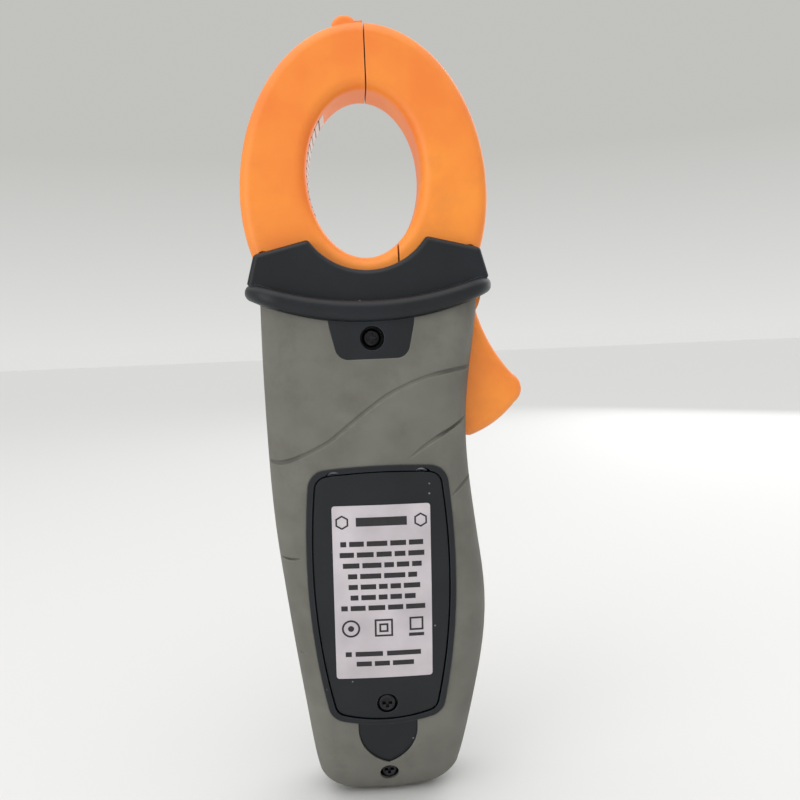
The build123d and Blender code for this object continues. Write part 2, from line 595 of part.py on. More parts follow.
def door_nut():
    slot_half = SHANK_R + PIN_CLEAR
    slot = block(-slot_half, slot_half, NUT_Y, NUT_Y + NUT_T, DOOR_SCREW_Z - 2 * NUT_HALF, DOOR_SCREW_Z)
    return nut_plate() - slot - post(0, DOOR_SCREW_Z, slot_half, NUT_Y, NUT_Y + NUT_T)


def button_hole(x, grow):
    return oblong(x, BUTTON_Z, BUTTON_W + grow, BUTTON_H + grow, 1.4)


def front_case(shell):
    shape = shell & FRONT_HALF
    shape -= post(0, DIAL_Z, DIAL_R + 0.6, FRONT_Y - 1, FRONT_Y + DIAL_RECESS)
    shape -= post(0, DIAL_Z, HUB_R + PIN_CLEAR, FRONT_Y, WALL_IN_Y + 1)
    groove = post(0, DIAL_Z, DETENT_R + DETENT_GROOVE, WALL_IN_Y - 0.5, WALL_IN_Y)
    shape -= groove - post(0, DIAL_Z, DETENT_R - DETENT_GROOVE, WALL_IN_Y - 0.5, WALL_IN_Y)
    for step in range(DETENTS):
        turn = 2 * math.pi * step / DETENTS
        x, z = DETENT_R * math.cos(turn), DIAL_Z + DETENT_R * math.sin(turn)
        shape -= post(x, z, BUMP_R, WALL_IN_Y - 0.9, WALL_IN_Y)
    shape -= slab(oblong(0, WINDOW_Z, WINDOW_W, WINDOW_H, 3.0), FRONT_Y - 1, FRONT_Y + WINDOW_T)
    shape -= slab(oblong(0, WINDOW_Z, GLASS_W + 0.4, GLASS_H + 0.4, 0.6), FRONT_Y, WALL_IN_Y + 1)
    for x in BUTTON_X:
        pocket = Pos(x, BUTTON_Z) * Rectangle(BUTTON_W + BUTTON_FLANGE + 0.6, BUTTON_H + BUTTON_FLANGE + 0.6)
        shape -= slab(pocket, BUTTON_POCKET_Y, WALL_IN_Y)
        shape -= slab(button_hole(x, 0.3), FRONT_Y - 1, WALL_IN_Y)
    shape += post(0, TOP_SCREW_Z, BOSS_R + 0.2, WALL_IN_Y - 0.5, BOSS_TOP_Y)
    for x, z in BAY_SCREWS + [(0, LOW_SCREW_Z)]:
        shape += post(x, z, BOSS_R, WALL_IN_Y - 0.5, PARTING_Y)
    for x, z in PCB_SCREWS:
        shape += post(x, z, SMALL_HEAD_R + 0.2, WALL_IN_Y - 0.5, PCB_Y)
        shape -= post(x, z, SMALL_SHANK_R, PCB_Y - PCB_SCREW_TIP - 0.1, PCB_Y)
    shape -= post(0, TOP_SCREW_Z, SHANK_R, TOP_TIP_Y - BORE_EXTRA, BOSS_TOP_Y)
    for x, z in BAY_SCREWS + [(0, LOW_SCREW_Z)]:
        shape -= post(x, z, SHANK_R, LOW_TIP_Y - BORE_EXTRA, PARTING_Y)
    for side in (-1, 1):
        shape -= bar_z(side * JACK_X, JACK_Y, JACK_COLLAR_R, CASE_END_Z - 1, CASE_END_Z + HOLLOW + 1)
    shape -= post(*PIVOT_AT, PIN_R, -SLOT_Y - PIN_SEAT, 0)
    return shape


# ---- soft grips over the case halves ----
def grips():
    """The overmoulded skins of the rear and the front half."""
    skin = (OUTER - UNDER_GRIP) & BELOW_GUARD
    skin -= slab(upper_tongue(), 0, BIG) + slab(door_outline(), 0, BIG) + slab(lower_tongue(), 0, BIG)
    skin -= slab(panel_outline(), -BIG, 0)
    skin -= guard_band()
    skin -= SWING_ROOM
    skin -= post(0, LOW_SCREW_Z, LOW_HOLE_R, 0, BIG)
    for side in (-1, 1):
        skin -= bar_z(side * JACK_X, JACK_Y, JACK_COLLAR_R, CASE_END_Z - 1, CASE_END_Z + HOLLOW + 1)
    return skin & REAR_HALF, skin & FRONT_HALF


# ---- jaws ----
def ring_edges(shape):
    ovals = [e for e in shape.edges() if e.geom_type == GeomType.ELLIPSE]
    return fillet([e for e in ovals if abs(abs(e.center().Y) - JAW_Y) < 0.01], JAW_EDGE)


def jaw_screws(side):
    """The small screws that join the two shells of a jaw."""
    return [(side * JAW_SCREW_X, JAW_SCREW_Z), FIXED_SCREW if side > 0 else MOVING_SCREW]


def screw_sockets(places):
    cut = Part()
    for x, z in places:
        cut += post(x, z, SMALL_HEAD_R + 0.1, JAW_SEAT_Y, JAW_Y + 1)
        cut += post(x, z, SMALL_SHANK_R + 0.1, 0, JAW_SEAT_Y)
        cut += post(x, z, SMALL_SHANK_R, JAW_TIP_Y - 0.2, 0)
    return cut


def core(half):
    bar = slab(ring_band(CORE_W / 2, CORE_W / 2) & half, -CORE_T / 2, CORE_T / 2)
    return bar - post(*PIVOT_AT, BUSH_R + FIT, -BIG, BIG)


def core_pocket(half):
    reach = CORE_W / 2 + FIT
    return slab(ring_band(reach, reach) & half, -CORE_T / 2 - FIT, CORE_T / 2 + FIT)


def coil_form(grow):
    reach = CORE_W / 2 + COIL_WALL + grow
    strip = polygon(
        (0, COIL_HIGH_Z + grow),
        (BIG, COIL_HIGH_Z + grow),
        (BIG, COIL_LOW_Z - grow),
        (0, COIL_LOW_Z - grow),
    )
    deep = CORE_T / 2 + COIL_WALL + grow
    return slab(ring_band(reach, reach) & strip, -deep, deep)


def foil(grow):
    band = ring_band(FOIL_OUT + FOIL_T + grow, grow - FOIL_OUT)
    return slab(band & fixed_side(1.5 - grow), -FOIL_W / 2 - grow, FOIL_W / 2 + grow)


def fixed_jaw():
    face = (ring_disc() & fixed_side()) - Ellipse(OPEN_A, OPEN_B)
    shape = ring_edges(slab(face, -JAW_Y, JAW_Y))
    shape += slab(fixed_foot(), -JAW_Y, JAW_Y)
    top_z = OPEN_B + JAW_TIP
    bump = slab(Pos(BUMP_X, top_z - 0.4) * Ellipse(BUMP_W / 2, BUMP_H + 0.4), -JAW_Y + 2.5, JAW_Y - 2.5)
    bump = soften(bump, 1.2, lambda c, e: e.length > 10)
    tip_x = SPLIT_X + SPLIT_GAP / 2
    ledge = polygon((tip_x, top_z - 3), (BUMP_X, top_z - 3), (BUMP_X, top_z + 0.7), (tip_x, top_z + 0.7))
    shape += bump + slab(ledge, -JAW_Y + 3.0, JAW_Y - 3.0)
    shape -= core_pocket(fixed_side(-1.0)) + coil_form(FIT) + foil(0.05)
    shape -= post(0, TOP_SCREW_Z, BOSS_R + 0.2 + FIT, -BIG, BIG)
    shape -= screw_sockets(jaw_screws(1))
    return shape


def moving_jaw():
    face = (ring_disc() & moving_side()) - Ellipse(OPEN_A, OPEN_B)
    shape = ring_edges(slab(face, -JAW_Y, JAW_Y))
    shape += post(*PIVOT_AT, KNUCKLE_R, -JAW_Y, JAW_Y)
    shape -= core_pocket(moving_side(-1.0))
    shape -= post(*PIVOT_AT, BUSH_R, -BIG, BIG)
    shape -= post(*PIVOT_AT, SPRING_R + SPRING_WIRE / 2 + 0.25, SPRING_FLOOR_Y, BIG)
    shape -= slab(leg_slot(), SPRING_FLOOR_Y, SPRING_FLOOR_Y + 2.0)
    tongue_y = TONGUE_T / 2 + FIT
    shape -= slab(tongue_outline(TONGUE_RIM_R - FIT, TONGUE_TOP_Z + FIT), -tongue_y, tongue_y)
    shape -= screw_sockets(jaw_screws(-1))
    for x, z in TRIGGER_PINS:
        shape -= post(x, z, TRIGGER_PIN_R, -JAW_Y + 0.5, JAW_Y + 1)
    return shape


def leg_slot():
    """Room for the spring's leg while the jaw swings past it."""
    low, high = math.radians(LEG_TURN - OPEN_ANGLE - 8), math.radians(LEG_TURN + 8)
    reach = LEG_REACH + 0.4
    points = [(reach * math.cos(a), reach * math.sin(a)) for a in (low, (low + high) / 2, high)]
    face = outline(ThreePointArc(*points), Line(points[2], (0, 0)), Line((0, 0), points[0]))
    return Pos(*PIVOT_AT) * face


def tongue_outline(inner_r, top_z):
    """The trigger's tongue round the underside of the pivot."""
    disc = Pos(*PIVOT_AT) * (Circle(KNUCKLE_R + 0.5) - Circle(inner_r))
    return disc & half_plane(top_z, False)


def trigger_outline():
    """Drawn from the pivot."""
    return Pos(*PIVOT_AT) * outline(
        ThreePointArc((-9.4, -3.8), (-12.9, -13.6), (-19.3, -23.0)),
        ThreePointArc((-19.3, -23.0), (-21.6, -27.0), (-19.6, -30.9)),
        ThreePointArc((-19.6, -30.9), (-14.0, -36.0), (-7.2, -39.4)),
        Polyline((-7.2, -39.4), (-3.4, -38.6), (-1.4, -13.0), (6.5, -8.0), (0, 0), (-9.4, -3.8)),
    )


def trigger():
    face = trigger_outline() - Pos(*PIVOT_AT) * Circle(KNUCKLE_R + FIT)
    shape = slab(face, -ARM_Y, ARM_Y)
    shape = soften(shape, TRIGGER_EDGE, lambda c, e: abs(abs(c.Y) - ARM_Y) < 0.01 and c.X < -29 and c.Z < -38)
    tongue = tongue_outline(TONGUE_RIM_R, TONGUE_TOP_Z) & Pos(*PIVOT_AT) * Circle(KNUCKLE_R + 0.5)
    tongue = slab(tongue, -TONGUE_T / 2, TONGUE_T / 2)
    keep = slab(trigger_outline() + Pos(*PIVOT_AT) * Circle(KNUCKLE_R - 0.2), -ARM_Y, ARM_Y)
    shape += tongue & keep
    for x, z in TRIGGER_PINS:
        shape -= post(x, z, TRIGGER_PIN_R, -ARM_Y, ARM_Y)
    return shape


def return_spring():
    """A torsion spring round the pivot: coils, a leg on the jaw and a leg into the case."""
    turn = Pos(PIVOT_X, SPRING_Y, PIVOT_Z) * Rot(0, 90 - LEG_TURN, 0)
    path = Helix(SPRING_PITCH, SPRING_PITCH * SPRING_TURNS, SPRING_R, direction=(0, 1, 0))
    wire_face = Circle(SPRING_WIRE / 2)
    coil = sweep(Plane(path @ 0, z_dir=path % 0) * wire_face, path)
    arm = Pos(0, 0, (SPRING_R + LEG_REACH) / 2) * Cylinder(SPRING_WIRE / 2, LEG_REACH - SPRING_R)
    wound = SPRING_PITCH * SPRING_TURNS
    rise = SPRING_HOLE_Y - SPRING_Y - wound
    tail = Pos(0, wound + rise / 2, SPRING_R) * Rot(90, 0, 0) * Cylinder(SPRING_WIRE / 2, rise)
    knees = Pos(0, 0, SPRING_R) * Sphere(SPRING_WIRE / 2)
    knees += Pos(0, wound, SPRING_R) * Sphere(SPRING_WIRE / 2)
    return turn * (coil + arm + tail + knees)


def pivot_pin():
    reach = SLOT_Y + PIN_SEAT
    pin = post(*PIVOT_AT, PIN_R, -reach, reach)
    return chamfer(pin.edges().filter_by(GeomType.CIRCLE), 0.3)


def pivot_bush():
    return post(*PIVOT_AT, BUSH_R, -JAW_Y, JAW_Y) - post(*PIVOT_AT, PIN_R + PIN_CLEAR, -BIG, BIG)


def jaw_label():
    band = Ellipse(OPEN_A, OPEN_B) - Ellipse(OPEN_A - MARK_T, OPEN_B - MARK_T)
    strip = polygon((0, MARK_HIGH_Z), (BIG, MARK_HIGH_Z), (BIG, MARK_LOW_Z), (0, MARK_LOW_Z))
    return slab(band & strip, -MARK_W / 2, MARK_W / 2)


# ---- leads: straight runs joined by tangent arcs ----
def lead(points, radius):
    runs = [(Vector(*b) - Vector(*a)).length for a, b in zip(points, points[1:])]
    bends = []
    for k in range(1, len(points) - 1):
        before = Vector(*points[k]) - Vector(*points[k - 1])
        after = Vector(*points[k + 1]) - Vector(*points[k])
        half_turn = math.radians(before.get_angle(after)) / 2
        bends.append(0.45 * min(runs[k - 1], runs[k]) / math.tan(half_turn))
    path = FilletPolyline(*points, radius=bends)
    tube = sweep(Plane(path @ 0, z_dir=path % 0) * Circle(radius), path)
    print("  lead", round(path.length, 1), "mm, bends", [round(b, 1) for b in bends])
    return tube


def jaw_leads():
    made = []
    for x in (7.0, 10.0, 13.0):
        low = FOOT_Z - 8.0
        made.append(lead([(x, LEAD_SLOT_Y, FOOT_Z), (x, LEAD_SLOT_Y, low), (x, PCB_BACK, low)], 0.5))
    return Compound(children=made)


def battery_lead(side):
    x, high = side * LEAD_X, BAY_TOP + 6.0
    low = BATTERY_Z + BATTERY_L + TERMINAL_H + CLIP_T
    return lead([(x, LEAD_Y, low), (x, LEAD_Y, high), (x, PCB_BACK, high)], LEAD_R)


# ---- battery door ----
def battery_door():
    face = door_outline(-DOOR_IN)
    shape = (OUTER - body(DOOR_T)) & slab(face, 0, BIG)
    for side in (-1, 1):
        x = side * TAB_X
        high = RIM_TOP - DOOR_IN + TAB_LEN
        foot = high - TAB_LEN - 1.9
        shape += block(x - TAB_W / 2, x + TAB_W / 2, TAB_Y - TAB_T, TAB_Y, foot, high)
        shape += block(x - TAB_W / 2, x + TAB_W / 2, TAB_Y - 0.1, TAB_Y + 1.0, foot, high - TAB_LEN - 0.2)
    cup_foot = NUT_Y + NUT_T + 0.3
    cup = post(0, DOOR_SCREW_Z, DOOR_HOLE_R + BOSS_WALL, cup_foot, door_surface(DOOR_SCREW_Z) - 0.5)
    shape += cup & body(0.6)
    shape -= post(0, DOOR_SCREW_Z, DOOR_HOLE_R, DOOR_SEAT_Y, BIG)
    shape -= post(0, DOOR_SCREW_Z, SHANK_R + 0.1, 0, DOOR_SEAT_Y)
    return shape


def door_screw():
    return case_screw(0, DOOR_SCREW_Z, DOOR_SEAT_Y + WASHER_T, NUT_Y - NUT_PASS)


def door_washer():
    ring = post(0, DOOR_SCREW_Z, DOOR_HOLE_R - 0.2, DOOR_SEAT_Y, DOOR_SEAT_Y + WASHER_T)
    return ring - post(0, DOOR_SCREW_Z, SHANK_R + 0.05, 0, BIG)


def door_pad():
    """Foam that keeps the battery from rattling."""
    low = BATTERY_Y + BATTERY_T / 2 + PAD_GAP
    return block(-PAD_HALF, PAD_HALF, low, BIG, PAD_LOW_Z, PAD_HIGH_Z) & body(DOOR_T)


def door_label():
    face = Pos(0, LABEL_Z) * Rot(0, 0, LABEL_TILT) * RectangleRounded(LABEL_W, LABEL_H, 0.8)
    return (body(-LABEL_T) - OUTER) & slab(face, 5, BIG)


# ---- battery ----
def battery():
    low_y = BATTERY_Y - BATTERY_T / 2
    shape = block(-BATTERY_W / 2, BATTERY_W / 2, low_y, low_y + BATTERY_T, BATTERY_Z, BATTERY_Z + BATTERY_L)
    shape = fillet(shape.edges().filter_by(Axis.Z), 2.0)
    shape = fillet(shape.edges().group_by(Axis.Z)[0] + shape.edges().group_by(Axis.Z)[-1], 0.6)
    for x, radius in TERMINALS:
        shape += bar_z(x, BATTERY_Y, radius, BATTERY_Z + BATTERY_L - 0.5, BATTERY_Z + BATTERY_L + TERMINAL_H)
    return shape


def battery_clip():
    foot = BATTERY_Z + BATTERY_L + 0.05
    head = BATTERY_Z + BATTERY_L + TERMINAL_H + CLIP_T
    shape = block(-12.8, 12.8, BATTERY_Y - 7.2, BATTERY_Y + 7.2, foot, head)
    shape = fillet(shape.edges().filter_by(Axis.Z), 3.0)
    for x, radius in TERMINALS:
        shape -= bar_z(x, BATTERY_Y, radius + 0.05, foot - 1, BATTERY_Z + BATTERY_L + TERMINAL_H + 0.05)
    return shape


# ---- circuit board and what stands on it ----
def main_pcb():
    sheet = block(-BIG, BIG, PCB_Y, PCB_BACK, PCB_BOTTOM, PCB_TOP)
    shape = body(PCB_INSET) & sheet
    for x, z in BAY_SCREWS:
        shape -= post(x, z, BOSS_R + 0.3, -BIG, BIG)
    for x, z in PCB_SCREWS:
        shape -= post(x, z, SMALL_SHANK_R + 0.1, -BIG, BIG)
    return shape - post(0, DIAL_Z, 3.0, -BIG, BIG)


def main_chip():
    x, z = CHIP_AT
    half = CHIP_SIZE / 2
    return block(x - half, x + half, PCB_BACK, PCB_BACK + CHIP_T, z - half, z + half)


def precision_resistors():
    made = []
    for x in (-RESISTOR_X, RESISTOR_X):
        for z in RESISTOR_Z:
            low, high = z - RESISTOR_LEN / 2, z + RESISTOR_LEN / 2
            made.append(bar_z(x, PCB_BACK + RESISTOR_R, RESISTOR_R, low, high))
    return Compound(children=made)


def pcb_screws():
    tip = PCB_Y - PCB_SCREW_TIP
    return group(small_screw(x, z, PCB_BACK, tip) for x, z in PCB_SCREWS)


# ---- display ----
def lcd_window():
    pane = slab(oblong(0, WINDOW_Z, WINDOW_W - 0.3, WINDOW_H - 0.3, 2.85), FRONT_Y + 0.1, WINDOW_SEAT_Y)
    return soften(pane, 0.3, lambda c, e: abs(c.Y - FRONT_Y - 0.1) < 0.01)


def lcd_glass():
    return slab(oblong(0, WINDOW_Z, GLASS_W, GLASS_H, 0.5), GLASS_Y, GLASS_Y + GLASS_T)


def lcd_frame():
    outer = Pos(0, WINDOW_Z) * Rectangle(WINDOW_W, WINDOW_H - 2)
    inner = Pos(0, WINDOW_Z) * Rectangle(GLASS_W - 2, GLASS_H + 0.4)
    return slab(outer - inner, WALL_IN_Y + 0.4, PCB_Y)


def lcd_backlight():
    return slab(Pos(0, WINDOW_Z) * Rectangle(GLASS_W - 3, GLASS_H - 6), GLASS_Y + GLASS_T, PCB_Y - 0.1)


def zebra_strips():
    made = []
    for side in (-1, 1):
        z = WINDOW_Z + side * (GLASS_H / 2 - 1.2)
        made.append(block(-14, 14, GLASS_Y + GLASS_T, PCB_Y, z - 0.9, z + 0.9))
    return Compound(children=made)


# ---- selector ----
def dial_knob():
    skirt_y = FRONT_Y + DIAL_RECESS - 0.1
    skirt = post(0, DIAL_Z, DIAL_R, DIAL_TOP_Y, skirt_y)
    skirt = soften(skirt, 0.8, lambda c, e: abs(c.Y - DIAL_TOP_Y) < 0.01)
    face = oblong(0, DIAL_Z, GRIP_BAR_W, 2 * DIAL_R - 2.4, GRIP_BAR_W / 2 - 0.1)
    bar = slab(face, GRIP_BAR_TOP_Y, DIAL_TOP_Y + 1)
    bar = soften(bar, 1.2, lambda c, e: abs(c.Y - GRIP_BAR_TOP_Y) < 0.01)
    shape = skirt + bar + post(0, DIAL_Z, HUB_R, skirt_y - 0.5, CARRIER_Y)
    shape -= slab(pointer_outline(0.1), GRIP_BAR_TOP_Y - 1, GRIP_BAR_TOP_Y + 0.4)
    return shape - post(0, DIAL_Z, SMALL_SHANK_R, CARRIER_Y - 5.0, CARRIER_Y)


def pointer_outline(grow):
    return oblong(0, DIAL_Z + DIAL_R - 7.5, 1.6 + grow, 7.0 + grow, 0.7)


def dial_pointer():
    return slab(pointer_outline(0), GRIP_BAR_TOP_Y - 0.05, GRIP_BAR_TOP_Y + 0.4)


def contact_carrier():
    disc = post(0, DIAL_Z, CARRIER_R, CARRIER_Y, CARRIER_Y + CARRIER_T)
    return disc - post(0, DIAL_Z, SMALL_SHANK_R + 0.1, -BIG, BIG)


def detent_spring():
    shape = post(0, DIAL_Z, DETENT_R + 1.0, CARRIER_Y - 0.25, CARRIER_Y)
    shape -= post(0, DIAL_Z, DETENT_R - 1.0, CARRIER_Y - 0.25, CARRIER_Y)
    for side in (-1, 1):
        shape += post(side * DETENT_R, DIAL_Z, BUMP_R - 0.3, WALL_IN_Y - 0.3, CARRIER_Y - 0.1)
    return shape


def wiper_contacts():
    made = []
    for turn in WIPER_TURNS:
        x, z = WIPER_R * math.cos(math.radians(turn)), DIAL_Z + WIPER_R * math.sin(math.radians(turn))
        low, high = CARRIER_Y + CARRIER_T, PCB_Y - 0.08
        made.append(block(x - WIPER_W / 2, x + WIPER_W / 2, low, high, z - WIPER_T / 2, z + WIPER_T / 2))
    return Compound(children=made)


def dial_screw():
    return screw(0, DIAL_Z, CARRIER_Y + CARRIER_T, CARRIER_Y - 3.5, SMALL_SHANK_R, SMALL_HEAD_R, 0.9)


# ---- buttons ----
def button(x):
    cap = slab(button_hole(x, 0), FRONT_Y - BUTTON_PROUD, BUTTON_POCKET_Y + 0.1)
    cap = soften(cap, 0.6, lambda c, e: abs(c.Y - FRONT_Y + BUTTON_PROUD) < 0.01)
    flange = Pos(x, BUTTON_Z) * Rectangle(BUTTON_W + BUTTON_FLANGE, BUTTON_H + BUTTON_FLANGE)
    back = BUTTON_POCKET_Y + 0.7
    return cap + slab(flange, BUTTON_POCKET_Y + 0.1, back) + post(x, BUTTON_Z, 1.4, back - 0.2, STEM_Y)


def tact_switches():
    made = []
    for x in BUTTON_X:
        half = SWITCH_SIZE / 2
        base = block(x - half, x + half, PCB_Y - SWITCH_T, PCB_Y, BUTTON_Z - half, BUTTON_Z + half)
        made.append(base + post(x, BUTTON_Z, SWITCH_KEY_R, SWITCH_TOP_Y, PCB_Y - SWITCH_T + 0.1))
    return Compound(children=made)


# ---- input jacks ----
def jack_tube(side):
    x, mouth = side * JACK_X, CASE_END_Z + JACK_RECESS
    shape = bar_z(x, JACK_Y, JACK_TUBE_R, mouth, mouth + JACK_LEN)
    shape += block(x - 1, x + 1, PCB_BACK, PCB_BACK + 0.8, mouth + JACK_LEN - 1, PCB_BOTTOM + 4)
    return shape - bar_z(x, JACK_Y, JACK_BORE_R, mouth - 1, mouth + JACK_LEN - 2)


def jack_collar(side):
    x = side * JACK_X
    ring = bar_z(x, JACK_Y, JACK_COLLAR_R, CASE_END_Z, CASE_END_Z + JACK_COLLAR_LEN)
    return ring - bar_z(x, JACK_Y, JACK_TUBE_R, CASE_END_Z - 1, CASE_END_Z + JACK_LEN)


def jaw_screw_set(side):
    return group(small_screw(x, z, JAW_SEAT_Y, JAW_TIP_Y) for x, z in jaw_screws(side))


SHELL = hard_shell()
REAR_GRIP, FRONT_GRIP = grips()
FIXED, MOVING = fixed_jaw(), moving_jaw()

write("rear_case", rear_case(SHELL))
write("front_case", front_case(SHELL))
write("rear_grip", REAR_GRIP)
write("front_grip", FRONT_GRIP)
write("case_screw_top", case_screw(0, TOP_SCREW_Z, TOP_SEAT_Y, TOP_TIP_Y))
write("case_screw_low", case_screw(0, LOW_SCREW_Z, LOW_SEAT_Y, LOW_TIP_Y))
write("bay_screws", group(case_screw(x, z, BAY_SEAT_Y, LOW_TIP_Y) for x, z in BAY_SCREWS), 2)

write("fixed_jaw_front_shell", front_part(FIXED))
write("fixed_jaw_rear_shell", rear_part(FIXED))
write("fixed_jaw_core", core(fixed_side()))
write("fixed_jaw_coil", coil_form(0) - core_pocket(fixed_side(-1.0)))
write("sensing_foil", foil(0))
write("fixed_jaw_screws", jaw_screw_set(1), 2)
write("jaw_label", jaw_label())
write("jaw_leads", jaw_leads(), 3)
write("moving_jaw_front_shell", front_part(MOVING))
write("moving_jaw_rear_shell", rear_part(MOVING))
write("moving_jaw_core", core(moving_side()))
write("moving_jaw_screws", jaw_screw_set(-1), 2)
write("pivot_bush", pivot_bush())
write("pivot_pin", pivot_pin())
write("return_spring", return_spring())
write("trigger", trigger())
write("trigger_pins", group(post(x, z, TRIGGER_PIN_R, 0.5 - JAW_Y, JAW_Y - 0.2) for x, z in TRIGGER_PINS), 2)

write("battery_door", battery_door())
write("door_label", door_label())
write("door_screw", door_screw())
write("door_washer", door_washer())
write("door_pad", door_pad())
write("door_nut", door_nut())
write("battery", battery())
write("battery_clip", battery_clip())
write("battery_lead_red", battery_lead(1))
write("battery_lead_black", battery_lead(-1))

write("main_pcb", main_pcb())
write("pcb_screws", pcb_screws(), len(PCB_SCREWS))
write("main_chip", main_chip())
write("capacitor", post(*CAPACITOR_AT, CAPACITOR_R, PCB_BACK, PCB_BACK + CAPACITOR_H))
write("buzzer", post(*BUZZER_AT, BUZZER_R, PCB_BACK, PCB_BACK + BUZZER_H))
write("ptc_thermistors", group(post(x, PTC_Z, PTC_R, PCB_BACK, PCB_BACK + PTC_T) for x in (-PTC_X, PTC_X)), 2)
write("precision_resistors", precision_resistors(), 4)
write("tact_switches", tact_switches(), len(BUTTON_X))
write("lcd_window", lcd_window())
write("lcd_glass", lcd_glass())
write("lcd_frame", lcd_frame())
write("lcd_backlight", lcd_backlight())
write("zebra_strips", zebra_strips(), 2)
write("dial_knob", dial_knob())
write("dial_pointer", dial_pointer())
write("contact_carrier", contact_carrier())
write("detent_spring", detent_spring())
write("wiper_contacts", wiper_contacts(), 3)
write("dial_screw", dial_screw())
for name, x in zip(BUTTON_NAMES, BUTTON_X):
    write(f"button_{name}", button(x))
write("jack_tubes", group(jack_tube(side) for side in (-1, 1)), 2)
for name, side in (("com", -1), ("volt", 1)):
    write(f"jack_collar_{name}", jack_collar(side))
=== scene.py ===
import bpy
import math
import random
from mathutils import Matrix, Vector
from mathutils.bvhtree import BVHTree
from mathutils.kdtree import KDTree


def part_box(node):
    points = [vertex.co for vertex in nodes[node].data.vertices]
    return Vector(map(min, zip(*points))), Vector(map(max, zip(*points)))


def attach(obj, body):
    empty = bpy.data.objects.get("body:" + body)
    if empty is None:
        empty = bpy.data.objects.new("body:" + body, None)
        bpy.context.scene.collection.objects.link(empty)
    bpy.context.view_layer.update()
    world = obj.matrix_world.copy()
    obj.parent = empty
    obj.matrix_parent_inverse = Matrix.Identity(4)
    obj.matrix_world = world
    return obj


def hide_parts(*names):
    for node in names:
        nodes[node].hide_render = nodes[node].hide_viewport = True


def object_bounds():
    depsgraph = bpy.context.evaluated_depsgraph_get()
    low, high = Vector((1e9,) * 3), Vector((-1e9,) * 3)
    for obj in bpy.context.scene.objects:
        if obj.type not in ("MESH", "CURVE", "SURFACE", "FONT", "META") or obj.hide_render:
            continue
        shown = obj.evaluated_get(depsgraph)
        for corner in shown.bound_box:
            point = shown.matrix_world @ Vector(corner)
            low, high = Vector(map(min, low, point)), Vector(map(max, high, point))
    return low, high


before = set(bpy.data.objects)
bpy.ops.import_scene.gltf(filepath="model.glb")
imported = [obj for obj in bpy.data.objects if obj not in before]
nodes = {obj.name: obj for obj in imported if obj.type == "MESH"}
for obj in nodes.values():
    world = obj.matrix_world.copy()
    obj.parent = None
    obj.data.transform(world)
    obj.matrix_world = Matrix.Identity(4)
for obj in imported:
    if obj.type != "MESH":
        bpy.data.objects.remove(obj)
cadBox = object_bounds()
mm = 0.001
print("stage: frame loaded,", len(nodes), "CAD nodes")


# sRGB hex to the linear values that the sockets take
def linearColour(hexText):
    channels = [int(hexText[i:i + 2], 16) / 255 for i in (1, 3, 5)]
    return tuple(c / 12.92 if c <= 0.04045 else ((c + 0.055) / 1.055) ** 2.4 for c in channels) + (1.0,)


def addNode(tree, kind, settings=None, inputs=None, links=None):
    node = tree.nodes.new(kind)
    for key, value in (settings or {}).items():
        setattr(node, key, value)
    for key, value in (inputs or {}).items():
        node.inputs[key].default_value = value
    for key, source in (links or {}).items():
        tree.links.new(source, node.inputs[key])
    return node


def setRamp(node, stops):
    ramp = node.color_ramp
    ramp.elements[0].position, ramp.elements[0].color = stops[0]
    ramp.elements[1].position, ramp.elements[1].color = stops[-1]
    for place, colour in stops[1:-1]:
        ramp.elements.new(place).color = colour
    return node


def newMaterial(name):
    mat = bpy.data.materials.new(name)
    mat.use_nodes = True
    return mat, mat.node_tree, mat.node_tree.nodes["Principled BSDF"]


def wear(piece, mat):
    piece.data.materials.clear()
    piece.data.materials.append(mat)


# a layer of colour over another, through a mask
def mixOver(tree, colour, mask, hexText):
    mix = addNode(tree, "ShaderNodeMix", {"data_type": "RGBA"}, links={"Factor": mask, "A": colour})
    mix.inputs["B"].default_value = linearColour(hexText)
    return mix.outputs["Result"]


# what use leaves on plastic and rubber, and the painted edge highlight along rounded edges
useMarksAndEdgeSheen = {"edgeBend": (0.995, 0.90), "rubAndSheenPatch": 6 * mm, "grimeSpan": (0.52, 0.74), "dustFrom": 0.80,
            "speckSpan": (0.10, 0.05), "speckAmount": 0.55}
